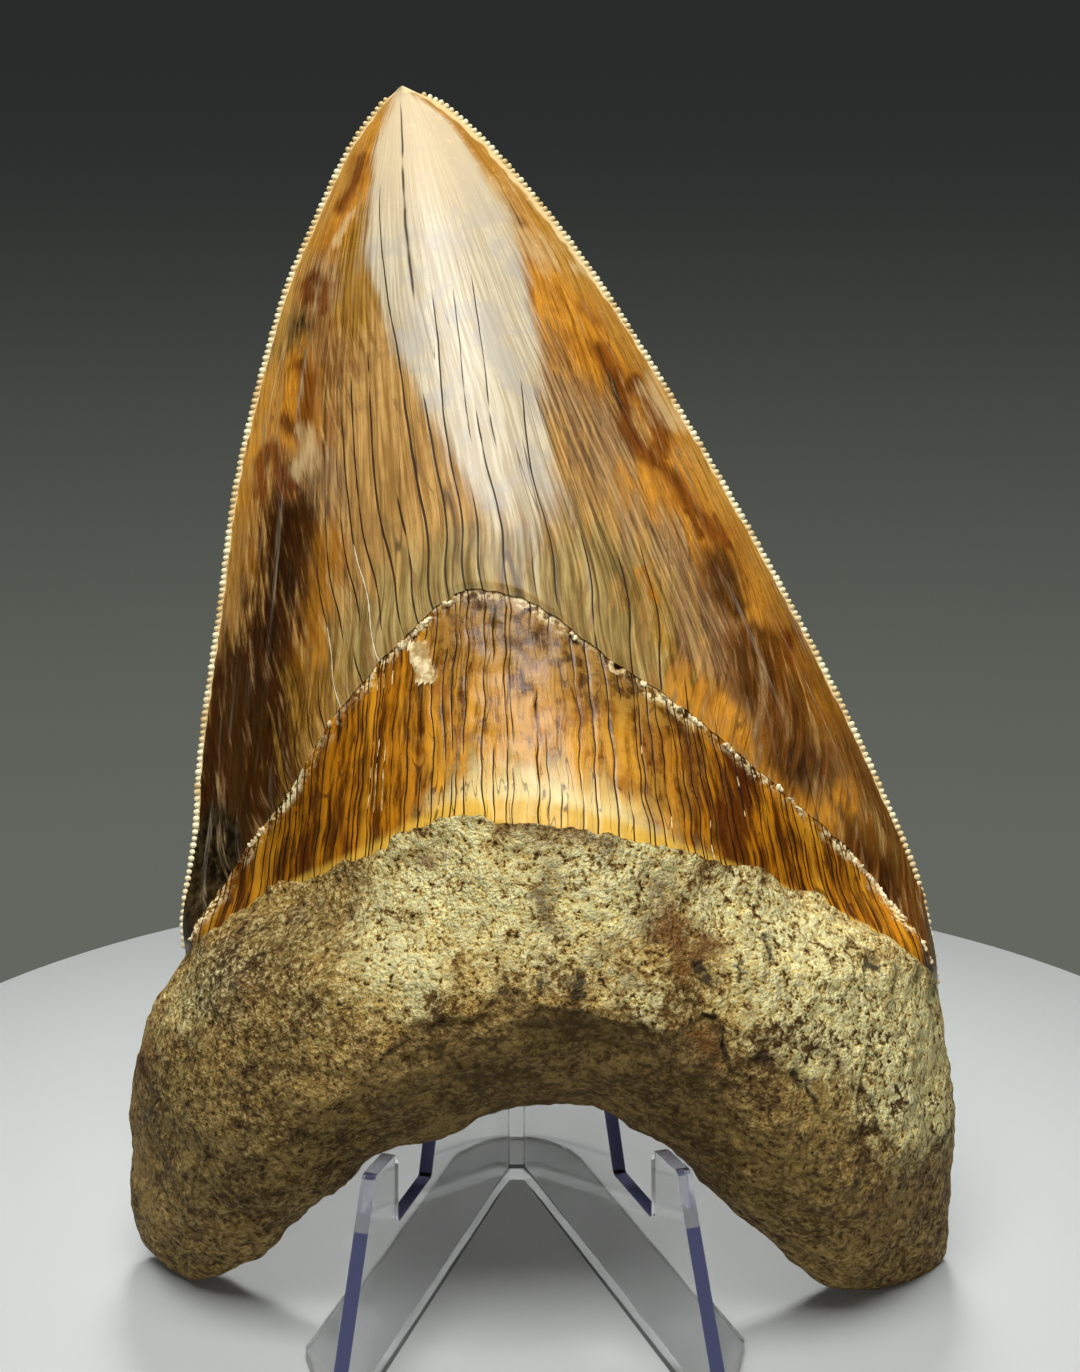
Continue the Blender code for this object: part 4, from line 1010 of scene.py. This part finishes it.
free = [edge for edge in mesh.edges if len(edge.link_faces) == 2 and edge.is_convex
        and edge.calc_face_angle() > SHARP and min(vert.co.z for vert in edge.verts) > EASED_ABOVE * MM]
bmesh.ops.bevel(mesh, geom=free, offset=EASED * MM, offset_type="OFFSET", segments=1, profile=0.5,
                affect="EDGES", clamp_overlap=True, material=2)
bmesh.ops.triangulate(mesh, faces=[face for face in mesh.faces if len(face.verts) > 4])
easel_data = bpy.data.meshes.new("easel_clear")
mesh.to_mesh(easel_data)
mesh.free()
easel_data.polygons.foreach_set("use_smooth", np.zeros(len(easel_data.polygons), bool))
easel = put("easel_clear", easel_data)

acrylic, start, surface = finish("easel_acrylic", Base_Color=(1, 1, 1, 1), Transmission_Weight=1,
                                 IOR=1.49, Roughness=0.03)
place = start.node("ShaderNodeTexCoord", output=3)
ripple = start.node("ShaderNodeTexNoise", {"Vector": place, "Scale": 60, "Detail": 1})
raise_by(surface, ripple, 0.15, 0.0004)
easel_data.materials.append(acrylic)
for name, tint, rough, clear in (("easel_edge_violet", (96, 99, 138), 0.25, 0.55),
                                 ("easel_edge_clear", (238, 240, 246), 0.12, 0.8)):
    easel_data.materials.append(finish(name, Base_Color=colour(tint), Transmission_Weight=clear, IOR=1.49,
                                       Roughness=rough)[0])
for item in easel_data.materials:
    absorption = item.node_tree.nodes.new("ShaderNodeVolumeAbsorption")
    absorption.inputs["Color"].default_value = (0.62, 0.64, 0.86, 1)
    absorption.inputs["Density"].default_value = 6
    item.node_tree.links.new(absorption.outputs[0], item.node_tree.nodes["Material Output"].inputs["Volume"])
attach(easel, "root")
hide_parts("easel")

# ---- the floor and the light -----------------------------------------------------------
# A round, matt white floor under the object, a dark wall round it, and three soft lights.
FLOOR_RADIUS, FLOOR_MIDDLE, FLOOR_THICK, FLOOR_GAP = 0.1, (0.0012, 0.039), 0.01, 0.00002
mesh = bmesh.new()
rings = [(0, 0), (FLOOR_RADIUS - 0.0015, 0), (FLOOR_RADIUS - 0.0004, -0.0004), (FLOOR_RADIUS, -0.0015),
         (FLOOR_RADIUS, -FLOOR_THICK), (0, -FLOOR_THICK)]
profile_points = [mesh.verts.new((r, 0, z)) for r, z in rings]
profile_edges = [mesh.edges.new(pair) for pair in zip(profile_points, profile_points[1:])]
bmesh.ops.spin(mesh, geom=profile_points + profile_edges, cent=(0, 0, 0), axis=(0, 0, 1), angle=math.tau,
               steps=192)
bmesh.ops.remove_doubles(mesh, verts=mesh.verts, dist=1e-6)
bmesh.ops.recalc_face_normals(mesh, faces=mesh.faces)
bmesh.ops.translate(mesh, verts=mesh.verts, vec=(*FLOOR_MIDDLE, -FLOOR_GAP))
floor_data = bpy.data.meshes.new("floor")
mesh.to_mesh(floor_data)
mesh.free()
smoothed(floor_data, 40)
floor = put("floor", floor_data)
floor_data.materials.append(finish("floor_white", Base_Color=colour((176, 179, 177)), Roughness=0.45)[0])

world = bpy.data.worlds.new("dark_room")
world.use_nodes = True
bpy.context.scene.world = world
start = Part(world.node_tree)
direction = start.node("ShaderNodeTexCoord")
up = start.node("ShaderNodeSeparateXYZ", {0: direction}, 2)
wall = up.rises(-0.32, 0.08).tint((100, 103, 95), (41, 44, 43))
wall.feeds(world.node_tree.nodes["Background"].inputs["Color"])


def softbox(name, place, target, width, height, power, spread=180):
    """A soft rectangular light at a place, turned to a target."""
    lamp = bpy.data.lights.new(name, "AREA")
    lamp.spread = math.radians(spread)
    lamp.shape = "RECTANGLE"
    lamp.size, lamp.size_y, lamp.energy = width, height, power
    holder = put(name, lamp)
    holder.location = place
    holder.rotation_euler = (Vector(target) - Vector(place)).to_track_quat("-Z", "Y").to_euler()


softbox("key_above", (-0.05, -0.37, 0.99), (0, 0, 0.08), 0.6, 0.5, 13.4)
softbox("front_fill", (0, -0.65, 0.12), (0, 0, 0.03), 0.5, 0.2, 1)
softbox("top_behind", (0, 0.3, 0.5), (0, 0.03, 0), 0.2, 0.1, 0.075, 24)

camera_data = bpy.data.cameras.new("camera")
camera_data.lens = 54.58
camera_data.sensor_width = 36
camera_data.clip_start = 0.01
camera = put("camera", camera_data)
camera.location = (-0.0002, -0.21658, 0.11441)
camera.rotation_euler = (math.radians(77.6), 0, 0)
bpy.context.scene.camera = camera
bpy.context.scene.view_settings.view_transform = "Standard"
